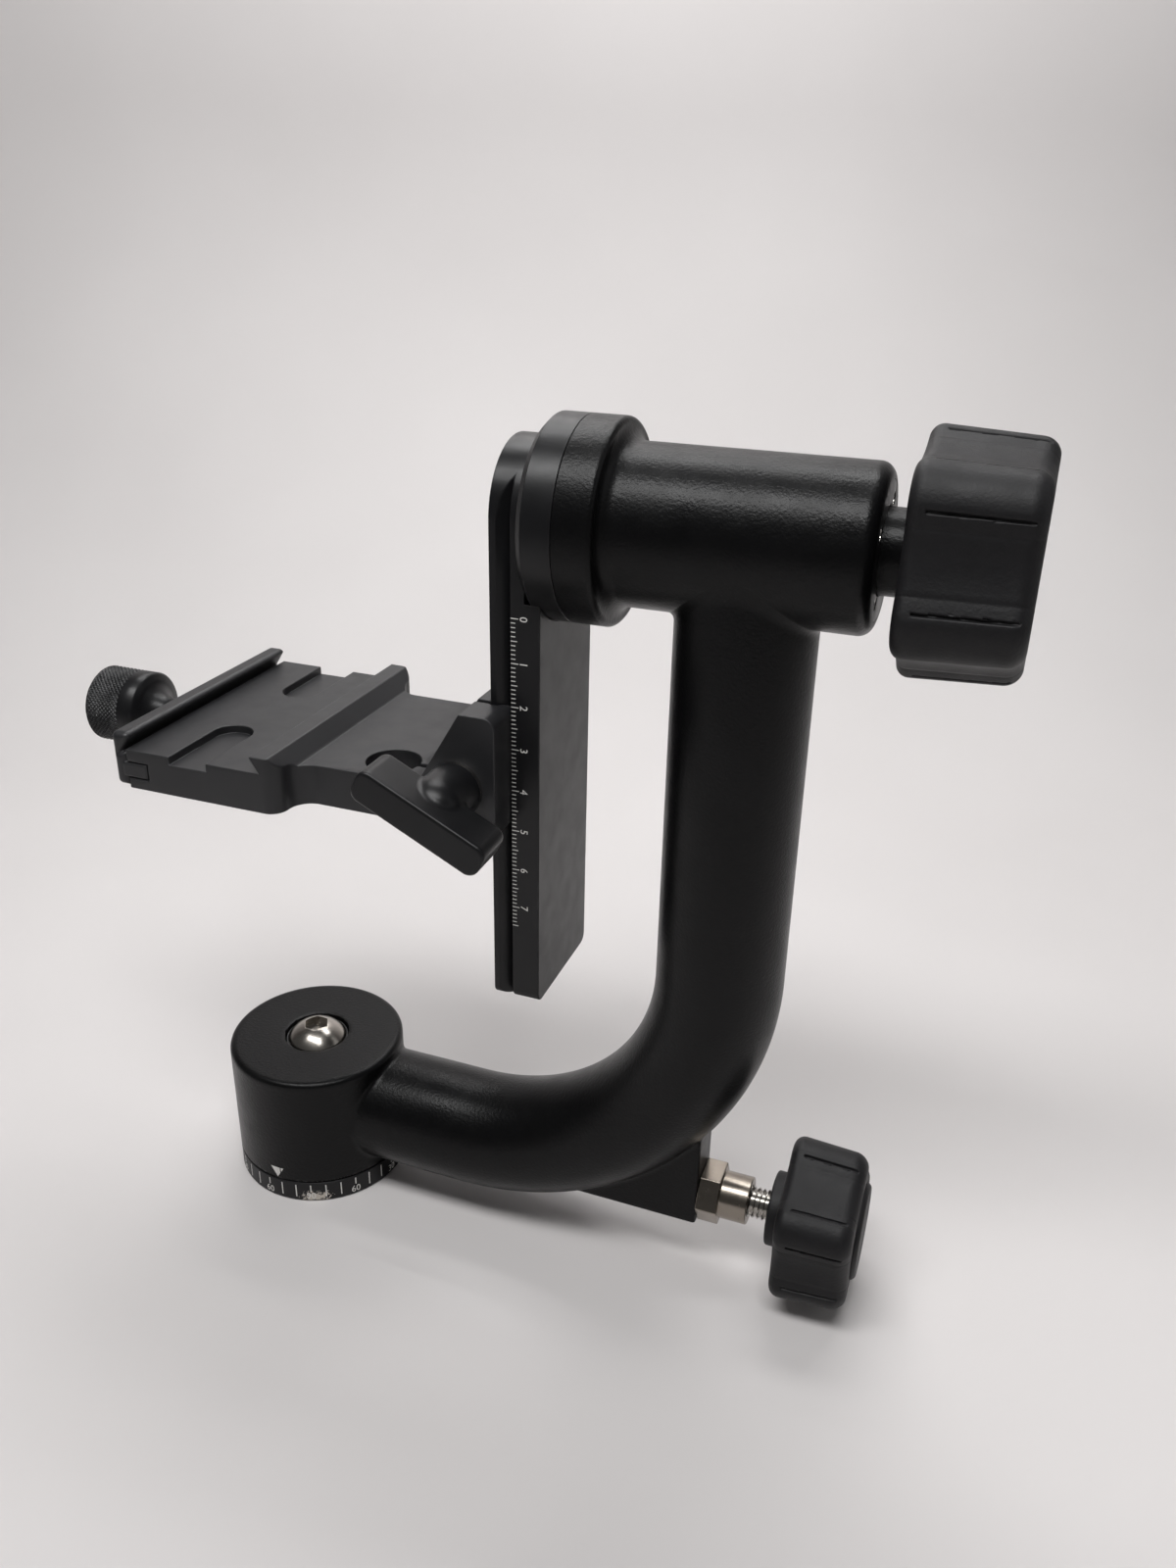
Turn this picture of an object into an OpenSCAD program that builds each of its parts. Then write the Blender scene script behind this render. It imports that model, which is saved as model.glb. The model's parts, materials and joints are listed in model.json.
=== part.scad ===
// Gimbal head: a graduated pan base, a J-shaped yoke, a dovetail swing arm on the tilt axis
// and a sliding platform with a quick-release clamp.
// Origin: centre of the underside of the base. X runs along the yoke's foot, Z is up. Millimetres.

/* [Pan base] */
// Diameter of the base ring and of the hub
base_d = 47.8; // [46:0.1:52]
// Height of the graduated base ring
base_h = 6.3; // [5.6:0.1:8]
// Height of the hub above the tube's top
hub_over = 2.75; // [2:0.05:6]
// Rounding of the hub's top edge
hub_round = 1.6; // [0.5:0.1:3]
// Diameter of the pan axle
axle_d = 20; // [17:0.5:22]
// Outer diameter of the pan bushes
bush_d = 26.4; // [25:0.1:28]
// Length of each pan bush
bush_len = 6; // [4:0.5:6]
// Diameter of the tripod thread
tripod_d = 9.525; // [6.35:0.005:9.53]
// Depth of the tripod thread
tripod_depth = 14; // [10:0.5:16]
// Diameter of the recess for the pan screw
recess_d = 17.6; // [17:0.1:20]
// Depth of the recess for the pan screw
recess_depth = 3.6; // [3:0.1:4.5]
// Diameter of the pan screw's head
pan_head_d = 16.3; // [13:0.1:16.4]
// Height of the pan screw's head
pan_head_h = 4.6; // [4:0.1:5.5]
// Thread diameter of the pan screw
pan_screw_d = 8; // [6:0.5:8]

/* [Yoke] */
// Diameter of the bent tube
tube_d = 30.5; // [29:0.1:34]
// Height of the tube's underside above the hub's
foot_lift = 0.15; // [0.1:0.05:2]
// Radius of the bend's centre line
bend_r = 66; // [55:0.5:72]
// Distance from the pan axis to the upright's axis
reach = 114.2; // [108:0.1:125]
// Height of the tilt axis
tilt_z = 193.3; // [188:0.1:210]
// Diameter of the barrel
barrel_d = 34.2; // [33:0.1:38]
// Diameter of the flange and the tilt disc
flange_d = 43.6; // [42:0.1:48]
// Distance from the upright's axis back to the flange's face
flange_back = 35.7; // [33:0.1:40]
// Thickness of the flange
flange_t = 8.3; // [7:0.1:11]
// Rounding of the flange's outer edge
flange_edge = 1.3; // [0.5:0.1:1.6]
// Distance from the upright's axis to the barrel's outer end
barrel_out = 26.4; // [25:0.1:32]
// Rounding of the barrel's outer end
barrel_round = 3; // [1:0.1:3.4]
// Half width of the gusset under the bend
gusset_half = 6.2; // [6:0.1:8]
// Drop of the gusset below the foot's axis
gusset_drop = 7.6; // [7:0.1:8.5]
// Distance from the upright's axis to the gusset's end face
gusset_out = -0.3; // [-2:0.1:3]

/* [Pan lock] */
// Drop of the pan lock's axis below the foot's axis
lock_drop = 0.6; // [0:0.1:1.5]
// Thread diameter of the pan lock rod
lock_rod_d = 8; // [6:0.5:8]
// Hexagon of the lock bush across its flats
lock_hex = 14; // [13:0.5:16]
// Length of the hexagon
lock_hex_len = 5.5; // [3:0.1:7]
// Diameter of the lock bush's round nose
lock_nose_d = 12.1; // [11:0.1:13]
// Length of the lock bush's round nose
lock_nose_len = 7.3; // [5:0.1:10]
// Bare rod between the nose and the knob's collar
lock_rod_bare = 5.6; // [3:0.1:10]
// Diameter of the knob's collar
lock_collar_d = 18.7; // [16:0.1:20]
// Length of the knob's collar
lock_collar_len = 3.3; // [2:0.1:6]
// Radius of the pan lock knob over its lobes at the inner end
lock_knob_r = 20.6; // [19:0.1:22]
// Length of the pan lock knob
lock_knob_len = 18.9; // [16:0.1:22]
// Angle of the pan lock knob's first lobe above the front
lock_knob_phase = 31; // [0:1:71]

/* [Tilt unit] */
// Bore of the tilt bearings
bearing_bore = 12; // [11:0.5:13]
// Outer diameter of the tilt bearings
bearing_d = 24; // [23:0.5:26]
// Width of the tilt bearings
bearing_w = 6; // [5:0.5:7]
// Balls in each tilt bearing
bearing_balls = 9; // [7:1:10]
// Thickness of the barrel's screwed end cap
end_cap_t = 3.8; // [3:0.1:5]
// Thickness of the tilt disc
disc_t = 8; // [7:0.1:10]
// Depth of the disc's seat in the swing arm
disc_seat = 3.5; // [2:0.1:4.5]
// Chamfer on the tilt disc's outer edge
disc_chamfer = 1.5; // [0.5:0.1:2]
// Thread diameter of the tilt shaft's end
tilt_thread_d = 10; // [8:0.5:10]
// Diameter of the sleeve behind the tilt knob
sleeve_d = 17.4; // [16:0.1:18]
// Bare sleeve between the barrel and the tilt knob
sleeve_bare = 5; // [2.5:0.1:7]
// Radius of the tilt knob over its lobes at the inner end
tilt_knob_r = 25.6; // [23:0.1:28]
// Length of the tilt knob
tilt_knob_len = 24.4; // [20:0.1:30]
// Angle of the tilt knob's first lobe above the front
tilt_knob_phase = 46; // [0:1:71]

/* [Knob lobes] */
// Lobes on each lock knob
lobes = 5; // [4:1:6]
// Share of each lobe's pitch that is the lobe's crest
lobe_share = 0.42; // [0.41:0.01:0.5]
// Depth of the valleys below the crests, as a share of the radius
valley_share = 0.14; // [0.12:0.01:0.2]
// Radius of the knobs' outer end, as a share of the inner end's
knob_taper = 0.95; // [0.92:0.01:0.98]
// Rounding of the knobs' inner end edge
knob_round = 2.8; // [1:0.1:4]
// Rounding of the knobs' outer end edge
knob_end_round = 3.6; // [1:0.1:4]
// Angle of the grip slots from a lobe's middle, as a share of half the lobes' pitch
slot_share = 0.37; // [0.3:0.005:0.37]
// Width of the grip slots
slot_w = 0.6; // [0.4:0.1:0.7]
// Depth of the grip slots
slot_depth = 0.9; // [0.5:0.1:1.2]
// Distance from the grip slots to the knobs' outer end
slot_end = 2.2; // [2:0.1:5]

/* [Swing arm] */
// Thickness of the swing arm
swing_t = 11.5; // [10.5:0.1:14]
// Width of the swing arm
swing_w = 31.5; // [30:0.1:36]
// Length of the swing arm below the tilt axis
swing_drop = 114.2; // [105:0.1:125]
// Rise of the rounded top's centre above the tilt axis
swing_rise = 1.2; // [0:0.1:2]
// Rounding of the swing arm's lower corners
swing_round = 2.5; // [1:0.1:5]
// Thickness of the dovetail's lip
lip_t = 1.5; // [1:0.1:2]
// Height of the dovetail, lip and groove together
dovetail_t = 4.8; // [4:0.1:5.5]
// Depth of the dovetail groove
dovetail_depth = 3.1; // [2.5:0.1:3.5]

/* [Platform] */
// Distance from the tilt axis down to the platform's top
platform_drop = 56.7; // [50:0.1:62]
// Thickness of the platform
platform_t = 9.9; // [9:0.1:12]
// Width of the neck
neck_w = 48.7; // [46:0.1:54]
// Distance from the swing arm to the clamp's fixed jaw
neck_len = 49.3; // [45:0.1:58]
// Length of the quick-release clamp
clamp_len = 66.8; // [60:0.1:80]
// Width of the clamp's floor between its jaws
clamp_floor = 36.1; // [33:0.1:40]
// Height of the jaws above the floor
jaw_h = 3.9; // [3:0.1:5]
// Overhang of the jaws' lips
jaw_over = 2; // [1:0.1:2.5]
// Width of the fixed jaw's top
jaw_top = 4.4; // [3:0.1:5]
// Thickness of the moving jaw
jaw_t = 3.7; // [3:0.1:5]
// Height of the moving jaw's tongue
tongue_h = 3.7; // [3.4:0.1:4.2]
// Length of the moving jaw's tongue
tongue_len = 5.4; // [4:0.1:7]
// Width of the floor's pockets
pocket_w = 10; // [6:0.1:12]
// Depth of the floor's pockets
pocket_depth = 2; // [1:0.1:2.2]
// Length of the floor's pockets
pocket_len = 22.7; // [15:0.1:26]

/* [Swing arm clamp] */
// Height of the clamp's ears above the platform
ear_h = 18.2; // [16:0.1:20]
// Length of the ears' foot on the platform
ear_foot = 14.4; // [13.6:0.1:18]
// Length of the ears' flat top
ear_top = 8.4; // [7:0.1:9]
// Rounding of the ears' top corner
ear_round = 2.6; // [1:0.1:3]
// Thickness of the front ear
ear_t = 8.8; // [8.2:0.1:9]
// Width of the slit behind the front ear
slit_w = 1.5; // [1:0.1:2]
// Diameter of the relief hole at the slit's end
relief_d = 12.8; // [9:0.1:14]
// Height of the clamp screw above the platform
handle_rise = 1; // [0.5:0.1:4]
// Distance from the swing arm to the clamp screw
handle_back = 4.4; // [4.2:0.1:8]
// Thread diameter of the clamp and quick-release screws
small_screw_d = 6; // [5:0.5:6]
// Length of the handle's bar
bar_len = 32; // [26:0.1:36]
// Thickness of the handle's bar
bar_t = 7.8; // [6:0.1:9]
// Depth of the handle's bar
bar_depth = 10.8; // [9:0.1:13]
// Rounding of the bar's corners
bar_round = 2.6; // [1:0.1:3]
// Slope of the handle's bar at rest
bar_slope = 26.6; // [0:0.1:90]
// Diameter of the handle's hub
handle_hub_d = 12.8; // [11:0.1:14]
// Length of the hub between the ear and the bar
handle_hub_len = 7.6; // [6:0.1:10]

/* [Quick-release knob] */
// Diameter of the knurled knob
qr_knob_d = 19.6; // [17:0.1:22]
// Length of the knurled knob
qr_grip_len = 15; // [12:0.1:18]
// Diameter of the stem
qr_stem_d = 7.6; // [7.4:0.1:10]
// Length of the stem
qr_stem_len = 13; // [9:0.1:16]

/* [Hidden] */
$fn = 96;

black = "#1d1d1f";
plastic = "#232326";
steel = "#c9c4ba";
brass = "#b59a5a";
nylon = "#e8e4d8";

// Clearances: running fits, pieces pressed together, sliding faces, and the seams that show
run_fit = 0.05;
press_fit = 0.01;
slide_fit = 0.15;
seam = 0.3;
// Play of screws in their clearance holes, on the diameter
screw_play = 0.4;
// Depth of screw heads below the face that they are sunk in
head_sink = 0.3;
// Overlap of cutters past the faces that they cut
cut = 1;

// Pan stack, from the base's underside up
axle_flange_out = 5;
axle_flange_d = axle_d + 2 * axle_flange_out;
axle_flange_h = 3;
thrust_t = 1.25;
thrust_recess = 1;
thrust_rim = 4;
thrust_step = 2;
ring_foot_edge = 0.4;
ring_top_edge = 0.2;
hub_z0 = base_h + seam;
arm_z = hub_z0 + foot_lift + tube_d / 2;
hub_h = foot_lift + tube_d + hub_over;
hub_z1 = hub_z0 + hub_h;
hub_wall = 3;
recess_z = hub_z1 - recess_depth;
bore_z1 = recess_z - hub_wall;
spigot_d = 12;
spigot_gap = 0.1;
spigot_z1 = recess_z + spigot_gap;
axle_gap = 0.2;
axle_z1 = bore_z1 - axle_gap;
cap_washer_t = 2.4;
cap_washer_gap = 0.4;
cap_washer_d = recess_d - 2 * cap_washer_gap;
pan_head_z = spigot_z1 + cap_washer_t;
pan_screw_len = 18;
axle_screw_out = 2.7;
axle_screw_pcd = axle_d + 2 * axle_screw_out;
axle_screw_d = 2.5;
axle_screw_head_d = 3.6;
axle_screw_len = 2;
axle_screw_spare = 0.2;
axle_screw_key = 1.5;
axle_screw_key_depth = 1;

// Yoke, along X
bend_x = reach - bend_r;
bend_z = arm_z + bend_r;
gusset_x1 = reach + gusset_out;
flange_x = reach - flange_back;
barrel_x1 = reach + barrel_out;
flange_land = 0.3;
flange_fillet = (flange_d - barrel_d) / 2 - flange_edge - flange_land;
gusset_bury = 2;

// Pan lock, along X from the axle out
lock_z = arm_z - lock_drop;
shoe_gap = 0.3;
shoe_x0 = axle_d / 2 + shoe_gap;
shoe_len = 12;
lock_bore_d = lock_rod_d + 0.5;
lock_shank_wall = 1;
lock_shank_d = lock_rod_d + 2 * lock_shank_wall;
lock_shank_len = 12;
lock_nose_x0 = gusset_x1 + lock_hex_len;
lock_nose_x1 = lock_nose_x0 + lock_nose_len;
lock_collar_x0 = lock_nose_x1 + lock_rod_bare;
lock_knob_x0 = lock_collar_x0 + lock_collar_len;
lock_knob_x1 = lock_knob_x0 + lock_knob_len;
lock_rod_x0 = shoe_x0 + shoe_len;
lock_rod_short = 4;
lock_rod_x1 = lock_knob_x1 - lock_rod_short;
lock_collar_edge = 0.6;
lock_cap_share = 0.58;
lock_cap_d = 2 * lock_cap_share * lock_knob_r;
cap_edge = 0.8;
cap_sink = 2;
lock_cap_proud = 1.2;

// Tilt unit, along X
disc_gap = 0.1;
disc_edge = 0.15;
disc_x1 = flange_x - disc_gap;
disc_x0 = disc_x1 - disc_t;
front_bearing_in = 2;
front_bearing_x = flange_x + front_bearing_in;
rear_bearing_x = barrel_x1 - end_cap_t - bearing_w - run_fit;
ball_d = (bearing_d - bearing_bore) / 4;
ball_pcd = (bearing_d + bearing_bore) / 2;
race_gap = ball_d / 2;
through_gap = 3;
through_d = bearing_bore + 2 * through_gap;
end_cap_land = 0.2;
end_cap_d = barrel_d - 2 * (barrel_round + end_cap_land);
spanner_hole_d = 2.6;
spanner_hole_depth = 2;
spanner_holes = 4;
spanner_turn = 60;
spanner_in = 0.5;
spanner_pcd = (end_cap_d + sleeve_d) / 2 - 2 * spanner_in;
shaft_head_out = 2;
shaft_head_d = bearing_bore + 2 * shaft_head_out;
shaft_head_t = 3;
shaft_shoulder_x = rear_bearing_x + bearing_w;
sleeve_x0 = shaft_shoulder_x + run_fit;
tilt_knob_x0 = barrel_x1 + sleeve_bare;
tilt_knob_x1 = tilt_knob_x0 + tilt_knob_len;
insert_wall = 3;
insert_d = tilt_thread_d + 2 * insert_wall;
insert_short = 7;
insert_len = tilt_knob_len - insert_short;
tilt_cap_share = 0.6;
tilt_cap_d = 2 * tilt_cap_share * tilt_knob_r;
friction_in_gap = 3;
friction_in_d = bearing_d + 2 * friction_in_gap;
friction_out_gap = 2;
friction_out_d = flange_d - 2 * friction_out_gap;
friction_recess = 1;

// Swing arm
swing_x1 = disc_x0 + disc_seat;
swing_x0 = swing_x1 - swing_t;
swing_z0 = tilt_z - swing_drop;
bolt_d = 8;
bolt_head_d = 13;
bolt_head_h = 5;
bolt_grip = 6;
bolt_len = swing_t + bolt_grip;
bolt_spare = 3.5;
bolt_hole_x1 = swing_x0 + bolt_head_h + bolt_len + bolt_spare;
arm_screw_d = 4;
arm_screw_head_d = 7;
arm_screw_head_h = 4;
arm_screw_out = 3.5;
arm_screw_pcd = shaft_head_d + 2 * arm_screw_out;
arm_screw_len = 10;
key_share = 0.75;
key_depth_share = 0.5;

// Platform, in the world frame at rest
plate_z1 = tilt_z - platform_drop;
plate_z0 = plate_z1 - platform_t;
jaw_root_x = swing_x0 - neck_len;
jaw_back = 3.2;
jaw_lip = 0.4;
clamp_lap = 1;
clamp_x1 = jaw_root_x + jaw_top - jaw_over + jaw_back - clamp_lap;
clamp_x0 = jaw_root_x - clamp_floor;
clamp_corner = 4;
neck_fillet = 5;
ear_x1 = swing_x0 + dovetail_t - slide_fit;
ear_foot_x = swing_x0 - ear_foot;
ear_z1 = plate_z1 + ear_h;
slit_y = -neck_w / 2 + ear_t;
relief_back = 10.6;
relief_side = 0.6;
relief_x = ear_foot_x - relief_back;
relief_y = slit_y + relief_side;
screw_x = swing_x0 - handle_back;
screw_z = plate_z1 + handle_rise;
pocket_share = 0.47;
pocket_x = clamp_x0 + pocket_share * clamp_floor;
tongue_rise = 4.7;
tongue_gap = 0.25;
tongue_z = plate_z0 + tongue_rise;
spring_wire = 0.6;
spring_d = 3.6;
spring_turns = 5;
spring_len = 8;
spring_y = clamp_len / 4;
spring_steps = 12;
spring_sides = 6;
spring_play = 0.8;
spring_hole_d = spring_d + spring_play;

// Swing arm clamp screw, along -Y from the ear's face
ear_y = -neck_w / 2;
clamp_washer_t = 1.2;
handle_y0 = ear_y - clamp_washer_t;
bar_y0 = handle_y0 - handle_hub_len;
dome_out = 1.3;
dome_y = bar_y0 - dome_out;
clamp_washer_d = handle_hub_d - 0.6;
clamp_screw_in = 16;

// Quick-release screw, along -X from the moving jaw's face
qr_washer_t = 1;
jaw_x1 = clamp_x0 - slide_fit;
jaw_x0 = jaw_x1 - jaw_t;
qr_y = 0;
qr_washer_out = 1;
qr_washer_d = qr_stem_d + 2 * qr_washer_out;
qr_edge = 1;
qr_rim = 0.6;
qr_stem_x = jaw_x0 - qr_washer_t;
qr_grip_x = qr_stem_x - qr_stem_len;
qr_end_x = qr_grip_x - qr_grip_len;
qr_screw_in = 30;
qr_screw_out = 8;

// Moving jaw's section
jaw_lift = 0.3;
jaw_foot_edge = 0.8;
jaw_foot_rise = 1.2;
jaw_crown = 1.6;
jaw_under = 0.6;
jaw_set = 0.8;

// A round bar along X
module x_bar(d, x0, x1, z, y = 0) {
    translate([x0, y, z])
        rotate([0, 90, 0])
            cylinder(d = d, h = x1 - x0);
}

// A round bar along Y
module y_bar(d, y0, y1, x, z) {
    translate([x, y0, z])
        rotate([-90, 0, 0])
            cylinder(d = d, h = y1 - y0);
}

// A tube along X
module x_tube(d, bore, x0, x1, z) {
    difference() {
        x_bar(d, x0, x1, z);
        x_bar(bore, x0 - cut, x1 + cut, z);
    }
}

// A tube along Z
module z_tube(d, bore, z0, z1) {
    difference() {
        translate([0, 0, z0])
            cylinder(d = d, h = z1 - z0);
        translate([0, 0, z0 - cut])
            cylinder(d = bore, h = z1 - z0 + 2 * cut);
    }
}

// Turns a profile of radius and distance about an axis along X
module turn_x(x, z) {
    translate([x, 0, z])
        rotate([0, 90, 0])
            rotate_extrude()
                children();
}

// The material left in a square corner outside a fillet
module corner_fillet(r) {
    difference() {
        square(r);
        translate([r, r])
            circle(r);
    }
}

// A rectangle about the origin with round corners
module round_rect(w, h, r) {
    square([w - 2 * r, h], center = true);
    square([w, h - 2 * r], center = true);
    for (sx = [-1, 1], sy = [-1, 1])
        translate([sx * (w / 2 - r), sy * (h / 2 - r)])
            circle(r);
}

// A half profile of a knob from its axis, with round end edges
module knob_half(r, len) {
    square([r - knob_round, len - knob_end_round]);
    translate([0, knob_round])
        square([r - knob_end_round, len - knob_round]);
    translate([0, knob_round])
        square([r, len - knob_round - knob_end_round]);
    translate([r - knob_round, knob_round])
        circle(knob_round);
    translate([r - knob_end_round, len - knob_end_round])
        circle(knob_end_round);
}

// A lobed knob along X, tapered to its outer end: round valleys, and a slot along each side of each crest
module lobed_knob(r, len, x, z, phase) {
    half = 180 / lobes * (1 - lobe_share);
    chord = r * sin(half);
    sag = r * valley_share - r * (1 - cos(half));
    valley_r = (chord * chord + sag * sag) / (2 * sag);
    lean = r * (1 - knob_taper) / len;
    slot_angle = 180 / lobes * slot_share;
    slot_x0 = knob_round + slot_w;
    slot_x1 = len - slot_end;
    translate([x, 0, z])
        rotate([0, 90, 0])
            rotate(-90 - phase)
                difference() {
                    intersection() {
                        rotate_extrude()
                            knob_half(r, len);
                        translate([0, 0, -cut])
                            cylinder(r1 = r + lean * cut, r2 = r - lean * (len + cut), h = len + 2 * cut);
                    }
                    for (i = [0 : lobes - 1])
                        rotate((i + 0.5) * 360 / lobes)
                            translate([r * cos(half) - sag + valley_r, 0, -cut])
                                cylinder(r = valley_r, h = len + 2 * cut);
                    for (i = [0 : lobes - 1], side = [-1, 1])
                        rotate(i * 360 / lobes + side * slot_angle)
                            translate([r, 0, 0])
                                rotate([0, -atan(lean), 0])
                                    translate([-slot_depth, -slot_w / 2, slot_x0])
                                        cube([slot_depth + cut, slot_w, slot_x1 - slot_x0]);
                }
}

// A hexagon prism or socket along Z
module hexagon(flats, h) {
    cylinder(d = flats / cos(30), h = h, $fn = 6);
}

// The graduated ring that stays with the tripod
module base_ring() {
    color(black)
        difference() {
            rotate_extrude()
                polygon([[0, 0], [base_d / 2 - ring_foot_edge, 0], [base_d / 2, ring_foot_edge],
                         [base_d / 2, base_h - ring_top_edge],
                         [base_d / 2 - ring_top_edge, base_h], [0, base_h]]);
            translate([0, 0, -cut])
                cylinder(d = axle_d + 2 * press_fit, h = base_h + 2 * cut);
            translate([0, 0, -cut])
                cylinder(d = axle_flange_d + 2 * press_fit, h = axle_flange_h + cut);
            translate([0, 0, base_h - thrust_recess])
                z_tube(base_d - 2 * thrust_rim, axle_d + 2 * thrust_step, 0, thrust_recess + cut);
            axle_screw_places()
                translate([0, 0, -cut])
                    cylinder(d = axle_screw_d + 2 * press_fit, h = axle_flange_h + axle_screw_len + cut);
        }
}

module axle_screw_places() {
    for (i = [0 : 2])
        rotate(i * 120 + 30)
            translate([axle_screw_pcd / 2, 0, 0])
                children();
}

// The post that the hub turns on, with the tripod thread in its foot
module pan_axle() {
    color(steel)
        difference() {
            union() {
                cylinder(d = axle_flange_d, h = axle_flange_h);
                cylinder(d = axle_d, h = axle_z1);
                cylinder(d = spigot_d, h = spigot_z1);
            }
            translate([0, 0, -cut])
                cylinder(d = tripod_d, h = tripod_depth + cut);
            translate([0, 0, spigot_z1 - pan_screw_len - cut])
                cylinder(d = pan_screw_d + 2 * press_fit, h = pan_screw_len + 2 * cut);
            axle_screw_places() {
                translate([0, 0, -cut])
                    cylinder(d = axle_screw_head_d + 2 * seam, h = axle_flange_h / 2 + cut);
                cylinder(d = axle_screw_d + 2 * press_fit, h = axle_flange_h + cut);
            }
        }
}

// Three screws that hold the axle's foot in the ring
module axle_screws() {
    color(steel)
        axle_screw_places()
            difference() {
                union() {
                    translate([0, 0, head_sink])
                        cylinder(d = axle_screw_head_d, h = axle_flange_h / 2 - head_sink);
                    translate([0, 0, head_sink])
                        cylinder(d = axle_screw_d,
                                 h = axle_flange_h + axle_screw_len - head_sink - axle_screw_spare);
                }
                translate([0, 0, -cut])
                    hexagon(axle_screw_key, axle_screw_key_depth + cut);
            }
}

module pan_thrust_washer() {
    color(nylon)
        z_tube(base_d - 2 * (thrust_rim + seam), axle_d + 2 * (thrust_step + seam), base_h - thrust_recess,
               base_h - thrust_recess + thrust_t);
}

module pan_bush(z) {
    color(brass)
        z_tube(bush_d - 2 * press_fit, axle_d + 2 * run_fit, z, z + bush_len);
}

module pan_bush_lower() {
    pan_bush(hub_z0 + seam);
}

module pan_bush_upper() {
    pan_bush(bore_z1 - seam - bush_len);
}

// The washer that keeps the hub down on the ring
module pan_cap_washer() {
    color(steel)
        z_tube(cap_washer_d, pan_screw_d + screw_play, spigot_z1, spigot_z1 + cap_washer_t);
}

// Button-head screw in the hub's recess
module pan_screw() {
    dome_r = (pan_head_d * pan_head_d / 4 + pan_head_h * pan_head_h) / (2 * pan_head_h);
    socket = 6;
    socket_depth = 2.8;
    crown_cut = 0.3;
    color(steel)
        translate([0, 0, pan_head_z])
            difference() {
                union() {
                    intersection() {
                        cylinder(d = pan_head_d, h = pan_head_h - crown_cut);
                        translate([0, 0, pan_head_h - dome_r])
                            sphere(dome_r);
                    }
                    translate([0, 0, -cap_washer_t - pan_screw_len])
                        cylinder(d = pan_screw_d, h = cap_washer_t + pan_screw_len + cut);
                }
                translate([0, 0, pan_head_h - socket_depth])
                    hexagon(socket, socket_depth + cut);
            }
}

// Hub, bent tube, barrel and flange in one casting
module yoke_arm() {
    color(black)
        difference() {
            union() {
                hub_form();
                tube_form();
                barrel_form();
                gusset_form();
            }
            hub_bores();
            barrel_bores();
            x_bar(lock_bore_d, 0, gusset_x1 + cut, lock_z);
            x_bar(lock_shank_d + 2 * press_fit, gusset_x1 - lock_shank_len - seam, gusset_x1 + cut, lock_z);
        }
}

module hub_form() {
    translate([0, 0, hub_z0])
        rotate_extrude() {
            square([base_d / 2, hub_h - hub_round]);
            square([base_d / 2 - hub_round, hub_h]);
            translate([base_d / 2 - hub_round, hub_h - hub_round])
                circle(hub_round);
        }
}

module tube_form() {
    x_bar(tube_d, 0, bend_x, arm_z);
    translate([bend_x, 0, bend_z])
        rotate([90, 0, 0])
            rotate(-90)
                rotate_extrude(angle = 90)
                    translate([bend_r, 0])
                        circle(d = tube_d);
    translate([reach, 0, bend_z])
        cylinder(d = tube_d, h = tilt_z - bend_z);
}

module barrel_form() {
    len = barrel_x1 - flange_x;
    turn_x(flange_x, tilt_z) {
        square([flange_d / 2, flange_t - flange_edge]);
        square([flange_d / 2 - flange_edge, flange_t]);
        translate([flange_d / 2 - flange_edge, flange_t - flange_edge])
            circle(flange_edge);
        translate([barrel_d / 2, flange_t])
            corner_fillet(flange_fillet);
        square([barrel_d / 2, len - barrel_round]);
        square([barrel_d / 2 - barrel_round, len]);
        translate([barrel_d / 2 - barrel_round, len - barrel_round])
            circle(barrel_round);
    }
}

// The block under the bend that carries the lock bush
module gusset_form() {
    outer = bend_r + tube_d / 2;
    z0 = arm_z - gusset_drop;
    start_x = bend_x + sqrt(outer * outer - (bend_z - z0) * (bend_z - z0)) - gusset_bury;
    end_z = bend_z - sqrt(outer * outer - (gusset_x1 - bend_x) * (gusset_x1 - bend_x)) + gusset_bury;
    translate([0, gusset_half, 0])
        rotate([90, 0, 0])
            linear_extrude(2 * gusset_half)
                polygon([[start_x, z0], [gusset_x1, z0], [gusset_x1, end_z],
                         [start_x, z0 + 2 * gusset_bury]]);
}

module hub_bores() {
    translate([0, 0, hub_z0 - cut])
        cylinder(d = bush_d, h = bore_z1 - hub_z0 + cut);
    translate([0, 0, hub_z0])
        cylinder(d = spigot_d + 2 * seam, h = hub_h);
    translate([0, 0, recess_z])
        cylinder(d = recess_d, h = recess_depth + cut);
}

module barrel_bores() {
    x_bar(through_d, flange_x - cut, barrel_x1 + cut, tilt_z);
    x_bar(bearing_d + 2 * press_fit, flange_x - cut, front_bearing_x + bearing_w, tilt_z);
    x_bar(bearing_d + 2 * press_fit, rear_bearing_x, barrel_x1 + cut, tilt_z);
    x_bar(end_cap_d + 2 * press_fit, barrel_x1 - end_cap_t, barrel_x1 + cut, tilt_z);
}

// Hexagon bush screwed into the gusset
module pan_lock_bush() {
    color(steel)
        difference() {
            union() {
                x_bar(lock_shank_d, gusset_x1 - lock_shank_len, gusset_x1 + cut, lock_z);
                translate([gusset_x1, 0, lock_z])
                    rotate([0, 90, 0])
                        rotate(30)
                            hexagon(lock_hex, lock_hex_len);
                x_bar(lock_nose_d, lock_nose_x0 - cut, lock_nose_x1, lock_z);
            }
            x_bar(lock_rod_d + 2 * run_fit, gusset_x1 - lock_shank_len - cut, lock_nose_x1 + cut, lock_z);
        }
}

// Plug at the rod's tip that bears on the axle
module pan_brake_shoe() {
    color(brass)
        x_bar(lock_bore_d - 4 * run_fit, shoe_x0, shoe_x0 + shoe_len - run_fit, lock_z);
}

module pan_lock_rod() {
    color(steel)
        x_bar(lock_rod_d, lock_rod_x0, lock_rod_x1, lock_z);
}

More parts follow.
